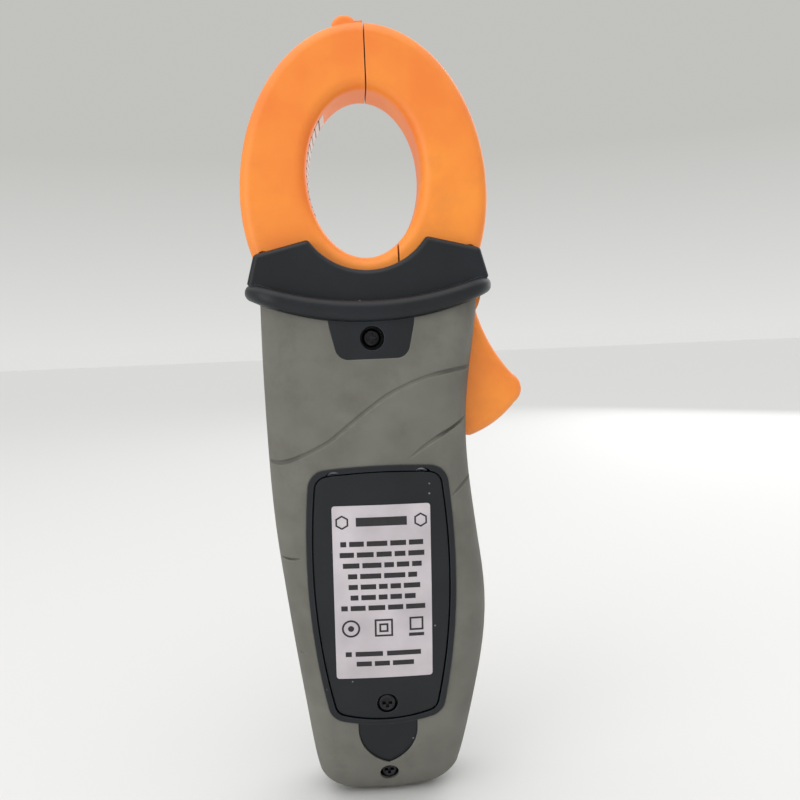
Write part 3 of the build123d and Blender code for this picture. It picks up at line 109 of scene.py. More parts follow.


# moulded plastic or rubber: cloudy colour, spark-eroded grain, soft edges, what use leaves on it, and a
# painted edge highlight
def mouldedPlastic(name, s):
    mat, tree, shader = newMaterial(name)
    place = addNode(tree, "ShaderNodeTexCoord").outputs["Object"]
    cloud = addNode(tree, "ShaderNodeTexNoise", inputs={"Scale": 1 / s["cloudSize"], "Detail": 4.0},
                    links={"Vector": place})
    grain = addNode(tree, "ShaderNodeTexNoise", inputs={"Scale": 1 / s["grainSize"], "Detail": 2.0},
                    links={"Vector": place})
    tone = addNode(tree, "ShaderNodeValToRGB", links={"Fac": cloud.outputs["Fac"]})
    setRamp(tone, [(0.34, linearColour(s["dark"])), (0.66, linearColour(s["light"]))])
    colour = tone.outputs["Color"]
    rounded = addNode(tree, "ShaderNodeBevel", {"samples": 4}, {"Radius": s["edgeRadius"]})
    if "rubAndEdgeSheen" in s:  # edges painted paler where the rounded normal leaves the flat one: a painted edge highlight, with some rub wear
        flat = addNode(tree, "ShaderNodeNewGeometry").outputs["Normal"]
        bend = addNode(tree, "ShaderNodeVectorMath", {"operation": "DOT_PRODUCT"},
                       links={0: rounded.outputs["Normal"], 1: flat})
        edge = addNode(tree, "ShaderNodeMapRange",
                       inputs={"From Min": useMarksAndEdgeSheen["edgeBend"][0], "From Max": useMarksAndEdgeSheen["edgeBend"][1]},
                       links={"Value": bend.outputs["Value"]})
        patch = addNode(tree, "ShaderNodeTexNoise", inputs={"Scale": 1 / useMarksAndEdgeSheen["rubAndSheenPatch"],
                                                            "Detail": 4.0}, links={"Vector": place})
        rubAndSheenMask = addNode(tree, "ShaderNodeMath", {"operation": "MULTIPLY"},
                       links={0: edge.outputs["Result"], 1: patch.outputs["Fac"]})
        colour = mixOver(tree, colour, rubAndSheenMask.outputs["Value"], s["rubAndEdgeSheen"])
    if "grime" in s:  # handling dirt in wide soft patches
        film = addNode(tree, "ShaderNodeTexNoise",
                       inputs={"Scale": 1 / s["grimeSize"], "Detail": 7.0, "Roughness": 0.65},
                       links={"Vector": place})
        amount = addNode(tree, "ShaderNodeMapRange",
                         inputs={"From Min": useMarksAndEdgeSheen["grimeSpan"][0],
                                 "From Max": useMarksAndEdgeSheen["grimeSpan"][1], "To Max": s["grimeAmount"]},
                         links={"Value": film.outputs["Fac"]})
        colour = mixOver(tree, colour, amount.outputs["Result"], s["grime"])
    if "dust" in s:  # a few pale specks a few tenths of a millimetre wide
        cells = addNode(tree, "ShaderNodeTexVoronoi", inputs={"Scale": 1 / s["dustGap"]},
                        links={"Vector": place})
        pick = addNode(tree, "ShaderNodeSeparateColor", links={"Color": cells.outputs["Color"]})
        few = addNode(tree, "ShaderNodeMath", {"operation": "GREATER_THAN"}, {1: useMarksAndEdgeSheen["dustFrom"]},
                      {0: pick.outputs["Red"]})
        near = addNode(tree, "ShaderNodeMapRange",
                       inputs={"From Min": useMarksAndEdgeSheen["speckSpan"][0],
                               "From Max": useMarksAndEdgeSheen["speckSpan"][1], "To Max": useMarksAndEdgeSheen["speckAmount"]},
                       links={"Value": cells.outputs["Distance"]})
        speck = addNode(tree, "ShaderNodeMath", {"operation": "MULTIPLY"},
                        links={0: few.outputs["Value"], 1: near.outputs["Result"]})
        colour = mixOver(tree, colour, speck.outputs["Value"], s["dust"])
    tree.links.new(colour, shader.inputs["Base Color"])
    gloss = addNode(tree, "ShaderNodeMapRange",
                    inputs={"To Min": s["rough"][0], "To Max": s["rough"][1]},
                    links={"Value": cloud.outputs["Fac"]})
    tree.links.new(gloss.outputs["Result"], shader.inputs["Roughness"])
    bump = addNode(tree, "ShaderNodeBump", inputs={"Strength": s["grain"], "Distance": s["grainDepth"]},
                   links={"Height": grain.outputs["Fac"], "Normal": rounded.outputs["Normal"]})
    tree.links.new(bump.outputs["Normal"], shader.inputs["Normal"])
    shader.inputs["IOR"].default_value = s["ior"]
    shader.inputs["Specular IOR Level"].default_value = s.get("specular", 0.5)
    return mat


# the skin that all worked metal shares
metalSkin = {"cloudSize": 3 * mm, "edgeRadius": 0.12 * mm, "lineStrength": 0.25, "lineDepth": 0.01 * mm}


# worked metal: lines left by drawing, turning or plating, with a soft change of tone
def workedMetal(name, s):
    mat, tree, shader = newMaterial(name)
    place = addNode(tree, "ShaderNodeTexCoord").outputs["Object"]
    drawn = addNode(tree, "ShaderNodeMapping", inputs={"Scale": s["lines"]}, links={"Vector": place})
    streak = addNode(tree, "ShaderNodeTexNoise", inputs={"Scale": 1.0, "Detail": 5.0},
                     links={"Vector": drawn.outputs["Vector"]})
    cloud = addNode(tree, "ShaderNodeTexNoise",
                    inputs={"Scale": 1 / metalSkin["cloudSize"], "Detail": 3.0}, links={"Vector": place})
    tone = addNode(tree, "ShaderNodeValToRGB", links={"Fac": cloud.outputs["Fac"]})
    setRamp(tone, [(0.35, linearColour(s["dark"])), (0.70, linearColour(s["light"]))])
    tree.links.new(tone.outputs["Color"], shader.inputs["Base Color"])
    gloss = addNode(tree, "ShaderNodeMapRange",
                    inputs={"To Min": s["rough"][0], "To Max": s["rough"][1]},
                    links={"Value": streak.outputs["Fac"]})
    tree.links.new(gloss.outputs["Result"], shader.inputs["Roughness"])
    rounded = addNode(tree, "ShaderNodeBevel", {"samples": 4}, {"Radius": metalSkin["edgeRadius"]})
    bump = addNode(tree, "ShaderNodeBump",
                   inputs={"Strength": metalSkin["lineStrength"], "Distance": metalSkin["lineDepth"]},
                   links={"Height": streak.outputs["Fac"], "Normal": rounded.outputs["Normal"]})
    tree.links.new(bump.outputs["Normal"], shader.inputs["Normal"])
    shader.inputs["Metallic"].default_value = 1.0
    return mat


# bands of two colours along one axis: laminations, windings, ticks, contact strips
def bandedSurface(name, s):
    mat, tree, shader = newMaterial(name)
    place = addNode(tree, "ShaderNodeTexCoord").outputs["Object"]
    axes = addNode(tree, "ShaderNodeSeparateXYZ", links={"Vector": place})
    count = addNode(tree, "ShaderNodeMath", {"operation": "DIVIDE"}, {1: s["pitch"]},
                    {0: axes.outputs[s["axis"]]})
    part = addNode(tree, "ShaderNodeMath", {"operation": "FRACT"}, links={0: count.outputs["Value"]})
    tone = addNode(tree, "ShaderNodeValToRGB", {}, links={"Fac": part.outputs["Value"]})
    setRamp(tone, [(0.0, linearColour(s["line"])), (s["share"], linearColour(s["line"])),
                   (s["share"] + 0.06, linearColour(s["ground"])), (1.0, linearColour(s["ground"]))])
    cloud = addNode(tree, "ShaderNodeTexNoise", inputs={"Scale": 1 / (2 * mm), "Detail": 4.0},
                    links={"Vector": place})
    gloss = addNode(tree, "ShaderNodeMapRange",
                    inputs={"To Min": s["rough"][0], "To Max": s["rough"][1]},
                    links={"Value": cloud.outputs["Fac"]})
    tree.links.new(tone.outputs["Color"], shader.inputs["Base Color"])
    tree.links.new(gloss.outputs["Result"], shader.inputs["Roughness"])
    bump = addNode(tree, "ShaderNodeBump", inputs={"Strength": 0.4, "Distance": s["depth"]},
                   links={"Height": part.outputs["Value"]})
    tree.links.new(bump.outputs["Normal"], shader.inputs["Normal"])
    shader.inputs["Metallic"].default_value = s["metallic"]
    return mat


# moulded ABS with a satin skin: even warm orange, wide soft highlight, edges painted a shade paler: a
# painted edge highlight with some rub wear
orangeAbs = mouldedPlastic("satinMouldedOrangeAbs", {
    "dark": "#F0802A", "light": "#F8932F", "cloudSize": 22 * mm, "grainSize": 0.35 * mm,
    "edgeRadius": 0.35 * mm,
    "rubAndEdgeSheen": "#FFAA66", "grime": "#B86A30", "grimeSize": 18 * mm, "grimeAmount": 0.22,
    "rough": (0.38, 0.48), "grain": 0.12, "grainDepth": 0.05 * mm, "ior": 1.53})
# spark-eroded dark ABS: matt with a blue cast, edges painted pale as a painted highlight with some
# polish wear, and it shows dust
darkAbs = mouldedPlastic("sparkErodedDarkAbs", {
    "dark": "#0D1115", "light": "#14191F", "cloudSize": 16 * mm, "grainSize": 0.30 * mm,
    "edgeRadius": 0.30 * mm,
    "rubAndEdgeSheen": "#414A52", "dust": "#9AA0A4", "dustGap": 3.2 * mm,
    "rough": (0.38, 0.48), "grain": 0.40, "grainDepth": 0.06 * mm, "ior": 1.53, "specular": 0.34})
# overmoulded elastomer: matt warm grey with a powdery skin and hand dirt, edges painted paler as a
# painted highlight with some rub wear
greyGrip = mouldedPlastic("overmouldedGreyElastomer", {
    "dark": "#65645D", "light": "#72716A", "cloudSize": 14 * mm, "grainSize": 0.40 * mm,
    "edgeRadius": 0.45 * mm,
    "rubAndEdgeSheen": "#8A887E", "grime": "#4E4B42", "grimeSize": 9 * mm, "grimeAmount": 0.30,
    "rough": (0.62, 0.78), "grain": 0.45, "grainDepth": 0.06 * mm, "ior": 1.50, "specular": 0.35})
# glass-filled nylon of the inner carriers and posts: dull black with fibre specks
blackNylon = mouldedPlastic("glassFilledBlackNylon", {
    "dark": "#131416", "light": "#1D1F21", "cloudSize": 3 * mm, "grainSize": 0.20 * mm,
    "edgeRadius": 0.15 * mm,
    "dust": "#4A4C4E", "dustGap": 0.8 * mm, "rough": (0.45, 0.60), "grain": 0.35,
    "grainDepth": 0.03 * mm, "ior": 1.53})
# polished dark ABS of the selector: a little glossier than the case from turning fingers, edges painted
# paler as a painted highlight with some rub wear
knobAbs = mouldedPlastic("finePolishedDarkAbs", {
    "dark": "#1A1D21", "light": "#23282D", "cloudSize": 9 * mm, "grainSize": 0.25 * mm,
    "edgeRadius": 0.40 * mm,
    "rubAndEdgeSheen": "#59626A", "rough": (0.28, 0.40), "grain": 0.20, "grainDepth": 0.04 * mm, "ior": 1.53})
# silicone rubber keys: soft mid grey, matt, edges painted paler as a painted highlight with some rub
# wear
keyRubber = mouldedPlastic("mouldedGreySilicone", {
    "dark": "#8A8C8C", "light": "#9A9C9B", "cloudSize": 5 * mm, "grainSize": 0.25 * mm,
    "edgeRadius": 0.40 * mm,
    "rubAndEdgeSheen": "#B4B5B3", "rough": (0.55, 0.70), "grain": 0.25, "grainDepth": 0.03 * mm, "ior": 1.43})
# white polycarbonate light guide and pointer: bright, faintly warm
whitePolycarbonate = mouldedPlastic("mouldedWhitePolycarbonate", {
    "dark": "#E6E6E0", "light": "#F2F2EE", "cloudSize": 6 * mm, "grainSize": 0.30 * mm,
    "edgeRadius": 0.15 * mm,
    "rough": (0.35, 0.45), "grain": 0.10, "grainDepth": 0.02 * mm, "ior": 1.58})
# acetal of the bush, the carrier and the display's frame: off-white, slippery and waxy
whiteAcetal = mouldedPlastic("machinedWhiteAcetal", {
    "dark": "#D8D7D0", "light": "#E4E3DC", "cloudSize": 5 * mm, "grainSize": 0.20 * mm,
    "edgeRadius": 0.12 * mm,
    "rough": (0.28, 0.40), "grain": 0.08, "grainDepth": 0.02 * mm, "ior": 1.48})
# closed-cell foam: black, dead matt, its skin full of small dimples
foam = mouldedPlastic("closedCellBlackFoam", {
    "dark": "#141414", "light": "#242424", "cloudSize": 2 * mm, "grainSize": 0.6 * mm,
    "edgeRadius": 0.5 * mm,
    "rough": (0.90, 0.98), "grain": 1.0, "grainDepth": 0.4 * mm, "ior": 1.45, "specular": 0.2})
# red and black PVC of the battery leads: slightly glossy from extrusion
redPvc = mouldedPlastic("extrudedRedPvc", {
    "dark": "#A81E18", "light": "#BC2A20", "cloudSize": 4 * mm, "grainSize": 0.3 * mm,
    "edgeRadius": 0.1 * mm,
    "rough": (0.30, 0.42), "grain": 0.08, "grainDepth": 0.02 * mm, "ior": 1.53})
blackPvc = mouldedPlastic("extrudedBlackPvc", {
    "dark": "#151515", "light": "#202020", "cloudSize": 4 * mm, "grainSize": 0.3 * mm,
    "edgeRadius": 0.1 * mm,
    "rough": (0.30, 0.42), "grain": 0.08, "grainDepth": 0.02 * mm, "ior": 1.53})
# moulded red ABS of the second jack's collar: satin, its edge painted paler: a painted highlight with
# some fading
redAbs = mouldedPlastic("mouldedRedAbs", {
    "dark": "#B02018", "light": "#C42C22", "cloudSize": 5 * mm, "grainSize": 0.3 * mm,
    "edgeRadius": 0.25 * mm,
    "rubAndEdgeSheen": "#DE6A5E", "rough": (0.34, 0.46), "grain": 0.15, "grainDepth": 0.03 * mm, "ior": 1.53})
# conformal epoxy on the thermistors: ochre dipped ceramic
dippedEpoxy = mouldedPlastic("dippedOchreEpoxy", {
    "dark": "#B07A2A", "light": "#C68E38", "cloudSize": 2 * mm, "grainSize": 0.5 * mm,
    "edgeRadius": 0.4 * mm,
    "rough": (0.30, 0.50), "grain": 0.30, "grainDepth": 0.08 * mm, "ior": 1.55})
# lacquered and printed steel can of the battery: dark with a dull sheen, its rim painted bright: a
# painted highlight with rub wear
batteryCan = mouldedPlastic("lacqueredBatteryCan", {
    "dark": "#22262E", "light": "#2C313A", "cloudSize": 8 * mm, "grainSize": 0.8 * mm,
    "edgeRadius": 0.5 * mm,
    "rubAndEdgeSheen": "#7C8085", "rough": (0.30, 0.42), "grain": 0.12, "grainDepth": 0.04 * mm, "ior": 1.50})
# screen-printed ink: dense, dead matt
blackInk = mouldedPlastic("screenPrintedBlackInk", {
    "dark": "#1B1A1C", "light": "#242326", "cloudSize": 1.5 * mm, "grainSize": 0.12 * mm,
    "edgeRadius": 0.02 * mm,
    "rough": (0.50, 0.65), "grain": 0.10, "grainDepth": 0.005 * mm, "ior": 1.50})
# the same ink in white: bright, with a chalky skin
whiteInk = mouldedPlastic("screenPrintedWhiteInk", {
    "dark": "#D2D4D3", "light": "#E2E3E2", "cloudSize": 1.5 * mm, "grainSize": 0.12 * mm,
    "edgeRadius": 0.02 * mm,
    "rough": (0.50, 0.65), "grain": 0.10, "grainDepth": 0.005 * mm, "ior": 1.50})

# phosphated screw steel: near black with a thin oily shine
phosphatedSteel = workedMetal("phosphatedScrewSteel", {
    "dark": "#2B2B2D", "light": "#454548", "lines": (900, 900, 900), "rough": (0.32, 0.50)})
# zinc-plated screws inside: bright, a little blue
zincSteel = workedMetal("zincPlatedSteel", {
    "dark": "#A9AEB4", "light": "#C6CACE", "lines": (1500, 1500, 1500), "rough": (0.24, 0.38)})
# drawn spring wire and ground pins: long fine lines
springWire = workedMetal("drawnSpringSteel", {
    "dark": "#8E9196", "light": "#B2B5B9", "lines": (300, 4000, 300), "rough": (0.18, 0.34)})
# turned brass: yellow with rings left by the tool
turnedBrass = workedMetal("turnedBrass", {
    "dark": "#B08A48", "light": "#D2AE6A", "lines": (400, 400, 5000), "rough": (0.20, 0.36)})
# rolled copper foil: dull pink
copperFoil = workedMetal("rolledCopperFoil", {
    "dark": "#A8694C", "light": "#C98862", "lines": (300, 300, 2500), "rough": (0.28, 0.42)})

# stacked silicon-steel sheets: 0.35 mm laminations seen edge on, drawn at 0.7 mm so that they show
laminatedCore = bandedSurface("stackedSiliconSteelSheet", {
    "axis": "Y", "pitch": 0.7 * mm, "share": 0.16, "line": "#2E2C2A", "ground": "#8C8C8A",
    "rough": (0.34, 0.50),
    "depth": 0.05 * mm, "metallic": 1.0})
# enamelled copper wire, wound in turns of 0.4 mm
woundCopper = bandedSurface("enamelledCopperWinding", {
    "axis": "Z", "pitch": 0.4 * mm, "share": 0.22, "line": "#4A1E0C", "ground": "#B4622C",
    "rough": (0.22, 0.36),
    "depth": 0.15 * mm, "metallic": 0.9})
# carbon-layered elastomer strips: black and clear layers 0.4 mm apart
zebraRubber = bandedSurface("layeredConductiveElastomer", {
    "axis": "X", "pitch": 0.4 * mm, "share": 0.5, "line": "#17181A", "ground": "#8E9294",
    "rough": (0.60, 0.75),
    "depth": 0.01 * mm, "metallic": 0.0})
# film resistors: pale blue lacquer with dark colour rings
ringedLacquer = bandedSurface("lacqueredFilmResistor", {
    "axis": "Z", "pitch": 2.1 * mm, "share": 0.26, "line": "#5A2418", "ground": "#6FA0B4",
    "rough": (0.25, 0.40),
    "depth": 0.01 * mm, "metallic": 0.0})
# printed vinyl strip on the jaw's inner wall: white with plain dark ticks 2 mm apart
tickedVinyl = bandedSurface("printedWhiteVinyl", {
    "axis": "Z", "pitch": 2.0 * mm, "share": 0.20, "line": "#3A3838", "ground": "#DAD8D4",
    "rough": (0.40, 0.55),
    "depth": 0.002 * mm, "metallic": 0.0})


# silvered polyester label: pale with a pinkish cast, brushed cross-wise, and a soft sheen
def silverLabel(s):
    mat, tree, shader = newMaterial("silveredPolyesterFilm")
    place = addNode(tree, "ShaderNodeTexCoord").outputs["Object"]
    stretch = addNode(tree, "ShaderNodeMapping",
                      inputs={"Scale": (1 / s["brushLength"], 1, 1 / s["brushWidth"])},
                      links={"Vector": place})
    brush = addNode(tree, "ShaderNodeTexNoise", inputs={"Scale": 1.0, "Detail": 3.0},
                    links={"Vector": stretch.outputs["Vector"]})
    cloud = addNode(tree, "ShaderNodeTexNoise", inputs={"Scale": 1 / s["cloudSize"], "Detail": 3.0},
                    links={"Vector": place})
    tone = addNode(tree, "ShaderNodeValToRGB", links={"Fac": cloud.outputs["Fac"]})
    setRamp(tone, [(0.32, linearColour(s["dark"])), (0.68, linearColour(s["light"]))])
    tree.links.new(tone.outputs["Color"], shader.inputs["Base Color"])
    gloss = addNode(tree, "ShaderNodeMapRange", inputs={"To Min": 0.34, "To Max": 0.48},
                    links={"Value": brush.outputs["Fac"]})
    tree.links.new(gloss.outputs["Result"], shader.inputs["Roughness"])
    shader.inputs["Metallic"].default_value = s["metallic"]
    return mat


labelFilm = silverLabel({"dark": "#BDB6BB", "light": "#D0C9CE", "cloudSize": 12 * mm,
                         "brushLength": 6 * mm,
                         "brushWidth": 0.12 * mm, "metallic": 0.35})


# solder mask over copper: green, with tracks 0.6 mm wide standing slightly proud
def solderMask(s):
    mat, tree, shader = newMaterial("solderMaskedGlassEpoxy")
    place = addNode(tree, "ShaderNodeTexCoord").outputs["Object"]
    flatten = addNode(tree, "ShaderNodeMapping", inputs={"Rotation": (math.radians(90), 0, 0)},
                      links={"Vector": place})
    tracks = addNode(tree, "ShaderNodeTexBrick", {"offset": 0.5},
                     {"Scale": 1.0, "Brick Width": s["trackLength"], "Row Height": s["trackGap"],
                      "Mortar Size": s["trackWidth"],
                      "Color1": linearColour(s["board"]), "Color2": linearColour(s["board2"]),
                      "Mortar": linearColour(s["track"])},
                     {"Vector": flatten.outputs["Vector"]})
    dots = addNode(tree, "ShaderNodeTexVoronoi", inputs={"Scale": 1 / (3.2 * mm)},
                   links={"Vector": place})
    pad = addNode(tree, "ShaderNodeMath", {"operation": "LESS_THAN"}, {1: 0.13},
                  {0: dots.outputs["Distance"]})
    colour = mixOver(tree, tracks.outputs["Color"], pad.outputs["Value"], s["pad"])
    tree.links.new(colour, shader.inputs["Base Color"])
    bump = addNode(tree, "ShaderNodeBump", inputs={"Strength": 0.5, "Distance": 0.03 * mm},
                   links={"Height": tracks.outputs["Fac"]})
    tree.links.new(bump.outputs["Normal"], shader.inputs["Normal"])
    shader.inputs["Roughness"].default_value = 0.35
    return mat


boardGreen = solderMask({"board": "#1F5A34", "board2": "#1B5230", "track": "#2F7A48", "pad": "#C9B98A",
                         "trackLength": 7 * mm, "trackGap": 1.3 * mm, "trackWidth": 0.28 * mm})


# liquid crystal glass: grey-green mirror behind clear glass, with a faint cloud
def liquidCrystal(s):
    mat, tree, shader = newMaterial("polarisedDisplayGlass")
    place = addNode(tree, "ShaderNodeTexCoord").outputs["Object"]
    cloud = addNode(tree, "ShaderNodeTexNoise", inputs={"Scale": 1 / (15 * mm), "Detail": 2.0},
                    links={"Vector": place})
    tone = addNode(tree, "ShaderNodeValToRGB", links={"Fac": cloud.outputs["Fac"]})
    setRamp(tone, [(0.3, linearColour(s["dark"])), (0.7, linearColour(s["light"]))])
    tree.links.new(tone.outputs["Color"], shader.inputs["Base Color"])
    shader.inputs["Roughness"].default_value = 0.30
    shader.inputs["Coat Weight"].default_value = 0.6
    shader.inputs["Coat Roughness"].default_value = 0.05
    return mat


displayGlass = liquidCrystal({"dark": "#8E998A", "light": "#9CA698"})


# acrylic window: clear in the middle, its rim printed black from behind, hairline scratches
def printedWindow(s):
    mat, tree, shader = newMaterial("printedClearAcrylic")
    place = addNode(tree, "ShaderNodeTexCoord").outputs["Object"]
    axes = addNode(tree, "ShaderNodeSeparateXYZ", links={"Vector": place})
    across = addNode(tree, "ShaderNodeMath", {"operation": "ABSOLUTE"}, links={0: axes.outputs["X"]})
    level = addNode(tree, "ShaderNodeMath", {"operation": "ADD"}, {1: -s["middleZ"]},
                    {0: axes.outputs["Z"]})
    along = addNode(tree, "ShaderNodeMath", {"operation": "ABSOLUTE"}, links={0: level.outputs["Value"]})
    sideRim = addNode(tree, "ShaderNodeMath", {"operation": "GREATER_THAN"}, {1: s["clearHalf"][0]},
                      {0: across.outputs["Value"]})
    endRim = addNode(tree, "ShaderNodeMath", {"operation": "GREATER_THAN"}, {1: s["clearHalf"][1]},
                     {0: along.outputs["Value"]})
    rim = addNode(tree, "ShaderNodeMath", {"operation": "MAXIMUM"},
                  links={0: sideRim.outputs["Value"], 1: endRim.outputs["Value"]})
    clear = addNode(tree, "ShaderNodeMath", {"operation": "SUBTRACT"}, {0: 1.0},
                    {1: rim.outputs["Value"]})
    ground = addNode(tree, "ShaderNodeRGB")
    ground.outputs[0].default_value = linearColour("#F4F7F6")
    colour = mixOver(tree, ground.outputs[0], rim.outputs["Value"], s["print"])
    tree.links.new(colour, shader.inputs["Base Color"])
    tree.links.new(clear.outputs["Value"], shader.inputs["Transmission Weight"])
    scratch = addNode(tree, "ShaderNodeTexNoise", inputs={"Scale": 1 / (0.8 * mm), "Detail": 6.0},
                      links={"Vector": place})
    gloss = addNode(tree, "ShaderNodeMapRange", inputs={"To Min": 0.02, "To Max": 0.09},
                    links={"Value": scratch.outputs["Fac"]})
    tree.links.new(gloss.outputs["Result"], shader.inputs["Roughness"])
    shader.inputs["IOR"].default_value = 1.49
    return mat


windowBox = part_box("lcd_window")
windowAcrylic = printedWindow({"middleZ": (windowBox[0][2] + windowBox[1][2]) / 2,
                               "clearHalf": (16.2 * mm, 14.4 * mm),
                               "print": "#15181B"})

finishes = [
    (orangeAbs,
     "fixed_jaw_front_shell fixed_jaw_rear_shell moving_jaw_front_shell moving_jaw_rear_shell trigger"),
    (darkAbs, "rear_case front_case battery_door"),
    (greyGrip, "front_grip rear_grip"),
    (blackNylon, "battery_clip buzzer main_chip capacitor jack_collar_com"),
    (knobAbs, "dial_knob"),
    (keyRubber, "button_mode button_range button_hold button_light"),
    (whitePolycarbonate, "dial_pointer lcd_backlight"),
    (whiteAcetal, "contact_carrier lcd_frame pivot_bush"),
    (foam, "door_pad"),
    (redPvc, "battery_lead_red"),
    (blackPvc, "battery_lead_black jaw_leads tact_switches door_washer"),
    (redAbs, "jack_collar_volt"),
    (dippedEpoxy, "ptc_thermistors"),
    (batteryCan, "battery"),
    (phosphatedSteel, "case_screw_top case_screw_low door_screw"),
    (zincSteel, "bay_screws fixed_jaw_screws moving_jaw_screws pcb_screws dial_screw door_nut"),
    (springWire, "return_spring detent_spring pivot_pin trigger_pins"),
    (turnedBrass, "jack_tubes wiper_contacts"),
    (copperFoil, "sensing_foil"),
    (laminatedCore, "fixed_jaw_core moving_jaw_core"),
    (woundCopper, "fixed_jaw_coil"),
    (zebraRubber, "zebra_strips"),
    (ringedLacquer, "precision_resistors"),
    (tickedVinyl, "jaw_label"),
    (labelFilm, "door_label"),
    (boardGreen, "main_pcb"),
    (displayGlass, "lcd_glass"),
    (windowAcrylic, "lcd_window"),
]
dressed = set()
for mat, names in finishes:
    for name in names.split():
        wear(nodes[name], mat)
        dressed.add(name)
print("stage: finishes on", len(dressed), "nodes, bare:", sorted(set(nodes) - dressed))


# only this object selected and active
def pickOnly(piece):
    if bpy.context.mode != "OBJECT":
        bpy.ops.object.mode_set(mode="OBJECT")
    bpy.ops.object.select_all(action="DESELECT")
    piece.select_set(True)
    bpy.context.view_layer.objects.active = piece


def joinPieces(pieces, name):
    bpy.ops.object.select_all(action="DESELECT")
    for piece in pieces:
        piece.select_set(True)
    bpy.context.view_layer.objects.active = pieces[0]
    if len(pieces) > 1:
        bpy.ops.object.join()
    joined = bpy.context.view_layer.objects.active
    joined.name = name
    bpy.ops.object.transform_apply(location=True, rotation=True, scale=True)
    return joined


# the rear grip again, with the moulded creases cut into its skin
gripCreases = {
    "radius": 0.62 * mm, "sink": 0.40 * mm, "endShare": 0.35, "cadAngle": 6, "sharpAngle": 38,
    "weld": 0.001 * mm, "sameCorner": 0.002 * mm, "rayFrom": 40 * mm, "rearOf": 2 * mm,
    "lines": [
        [(28.3, -73.9), (27.0, -73.8), (25.0, -74.1), (20.2, -72.8), (12.7, -69.4), (8.3, -66.0),
         (3.3, -62.1), (-0.4, -59.4), (-4.1, -57.0), (-10.7, -54.2), (-15.4, -52.8), (-21.2, -51.7),
         (-24.6, -51.3), (-25.6, -51.2)],
        [(-7.7, -74.6), (-11.2, -71.9), (-16.3, -68.7), (-22.4, -65.1), (-24.0, -64.2)],
        [(-18.7, -85.0), (-21.0, -83.0), (-23.6, -80.8), (-24.8, -79.9)],
        [(17.8, -97.8), (20.7, -99.2), (24.2, -99.6), (26.4, -99.2)],
        [(18.0, -125.4), (20.9, -125.9), (23.4, -125.6)],
    ],
}


# corners that the creases didn't touch keep the moulded curve's own normals
def keepMouldedNormals(skin, moulded, reach):
    tree = KDTree(len(moulded.loops))
    for loop in moulded.loops:
        tree.insert(moulded.vertices[loop.vertex_index].co, loop.index)
    tree.balance()
    old = [corner.vector.copy() for corner in moulded.corner_normals]
    fresh = [corner.vector.copy() for corner in skin.corner_normals]
    for face in skin.polygons:
        for index in face.loop_indices:
            near = tree.find_range(skin.vertices[skin.loops[index].vertex_index].co, reach)
            if near:
                fresh[index] = max((old[found[1]] for found in near), key=face.normal.dot)
    skin.normals_split_custom_set(fresh)


def addGroovedGrip(s):
    skin = nodes["rear_grip"].copy()
    skin.data = nodes["rear_grip"].data.copy()
    skin.name = "creased_rear_grip"
    bpy.context.collection.objects.link(skin)
    pickOnly(skin)
    bpy.ops.object.mode_set(mode="EDIT")
    bpy.ops.mesh.select_all(action="SELECT")
    bpy.ops.mesh.remove_doubles(threshold=s["weld"])
    bpy.ops.object.mode_set(mode="OBJECT")
    bpy.ops.object.shade_smooth_by_angle(angle=math.radians(s["cadAngle"]))
    surface = BVHTree.FromObject(skin, bpy.context.evaluated_depsgraph_get())
    for line in s["lines"]:
        points = []
        for x, z in line:
            hit = surface.ray_cast(Vector((x * mm, s["rayFrom"], z * mm)), Vector((0, -1, 0)))
            if hit[0] is not None and hit[0].y > s["rearOf"]:
                points.append(hit[0] + hit[1] * (s["radius"] - s["sink"]))
        curve = bpy.data.curves.new("creaseTool", "CURVE")
        curve.dimensions = "3D"
        spline = curve.splines.new("NURBS")
        spline.points.add(len(points) - 1)
        for point, place in zip(spline.points, points):
            point.co = (*place, 1.0)
        for index in (0, -1):
            spline.points[index].radius = s["endShare"]
        spline.order_u = 3
        spline.use_endpoint_u = True
        curve.bevel_depth = s["radius"]
        curve.bevel_resolution = 4
        curve.use_fill_caps = True
        tool = bpy.data.objects.new("creaseTool", curve)
        bpy.context.collection.objects.link(tool)
        pickOnly(tool)
        bpy.ops.object.convert(target="MESH")
        pickOnly(skin)
        cut = skin.modifiers.new("crease", "BOOLEAN")
        cut.operation, cut.solver, cut.object = "DIFFERENCE", "EXACT", tool
        bpy.ops.object.modifier_apply(modifier=cut.name)
        bpy.data.objects.remove(tool)
    pickOnly(skin)
    bpy.ops.object.mode_set(mode="EDIT")
    bpy.ops.mesh.select_all(action="DESELECT")
    bpy.ops.mesh.edges_select_sharp(sharpness=math.radians(s["sharpAngle"]))
    bpy.ops.mesh.mark_sharp()
    bpy.ops.object.mode_set(mode="OBJECT")
    keepMouldedNormals(skin.data, nodes["rear_grip"].data, s["sameCorner"])
    wear(skin, greyGrip)
    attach(skin, "root")
    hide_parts("rear_grip")
    print("stage: creased grip,", len(skin.data.polygons), "faces")


addGroovedGrip(gripCreases)


faceRear = (math.radians(-90), 0, 0)  # a flat mark turned to face +Y


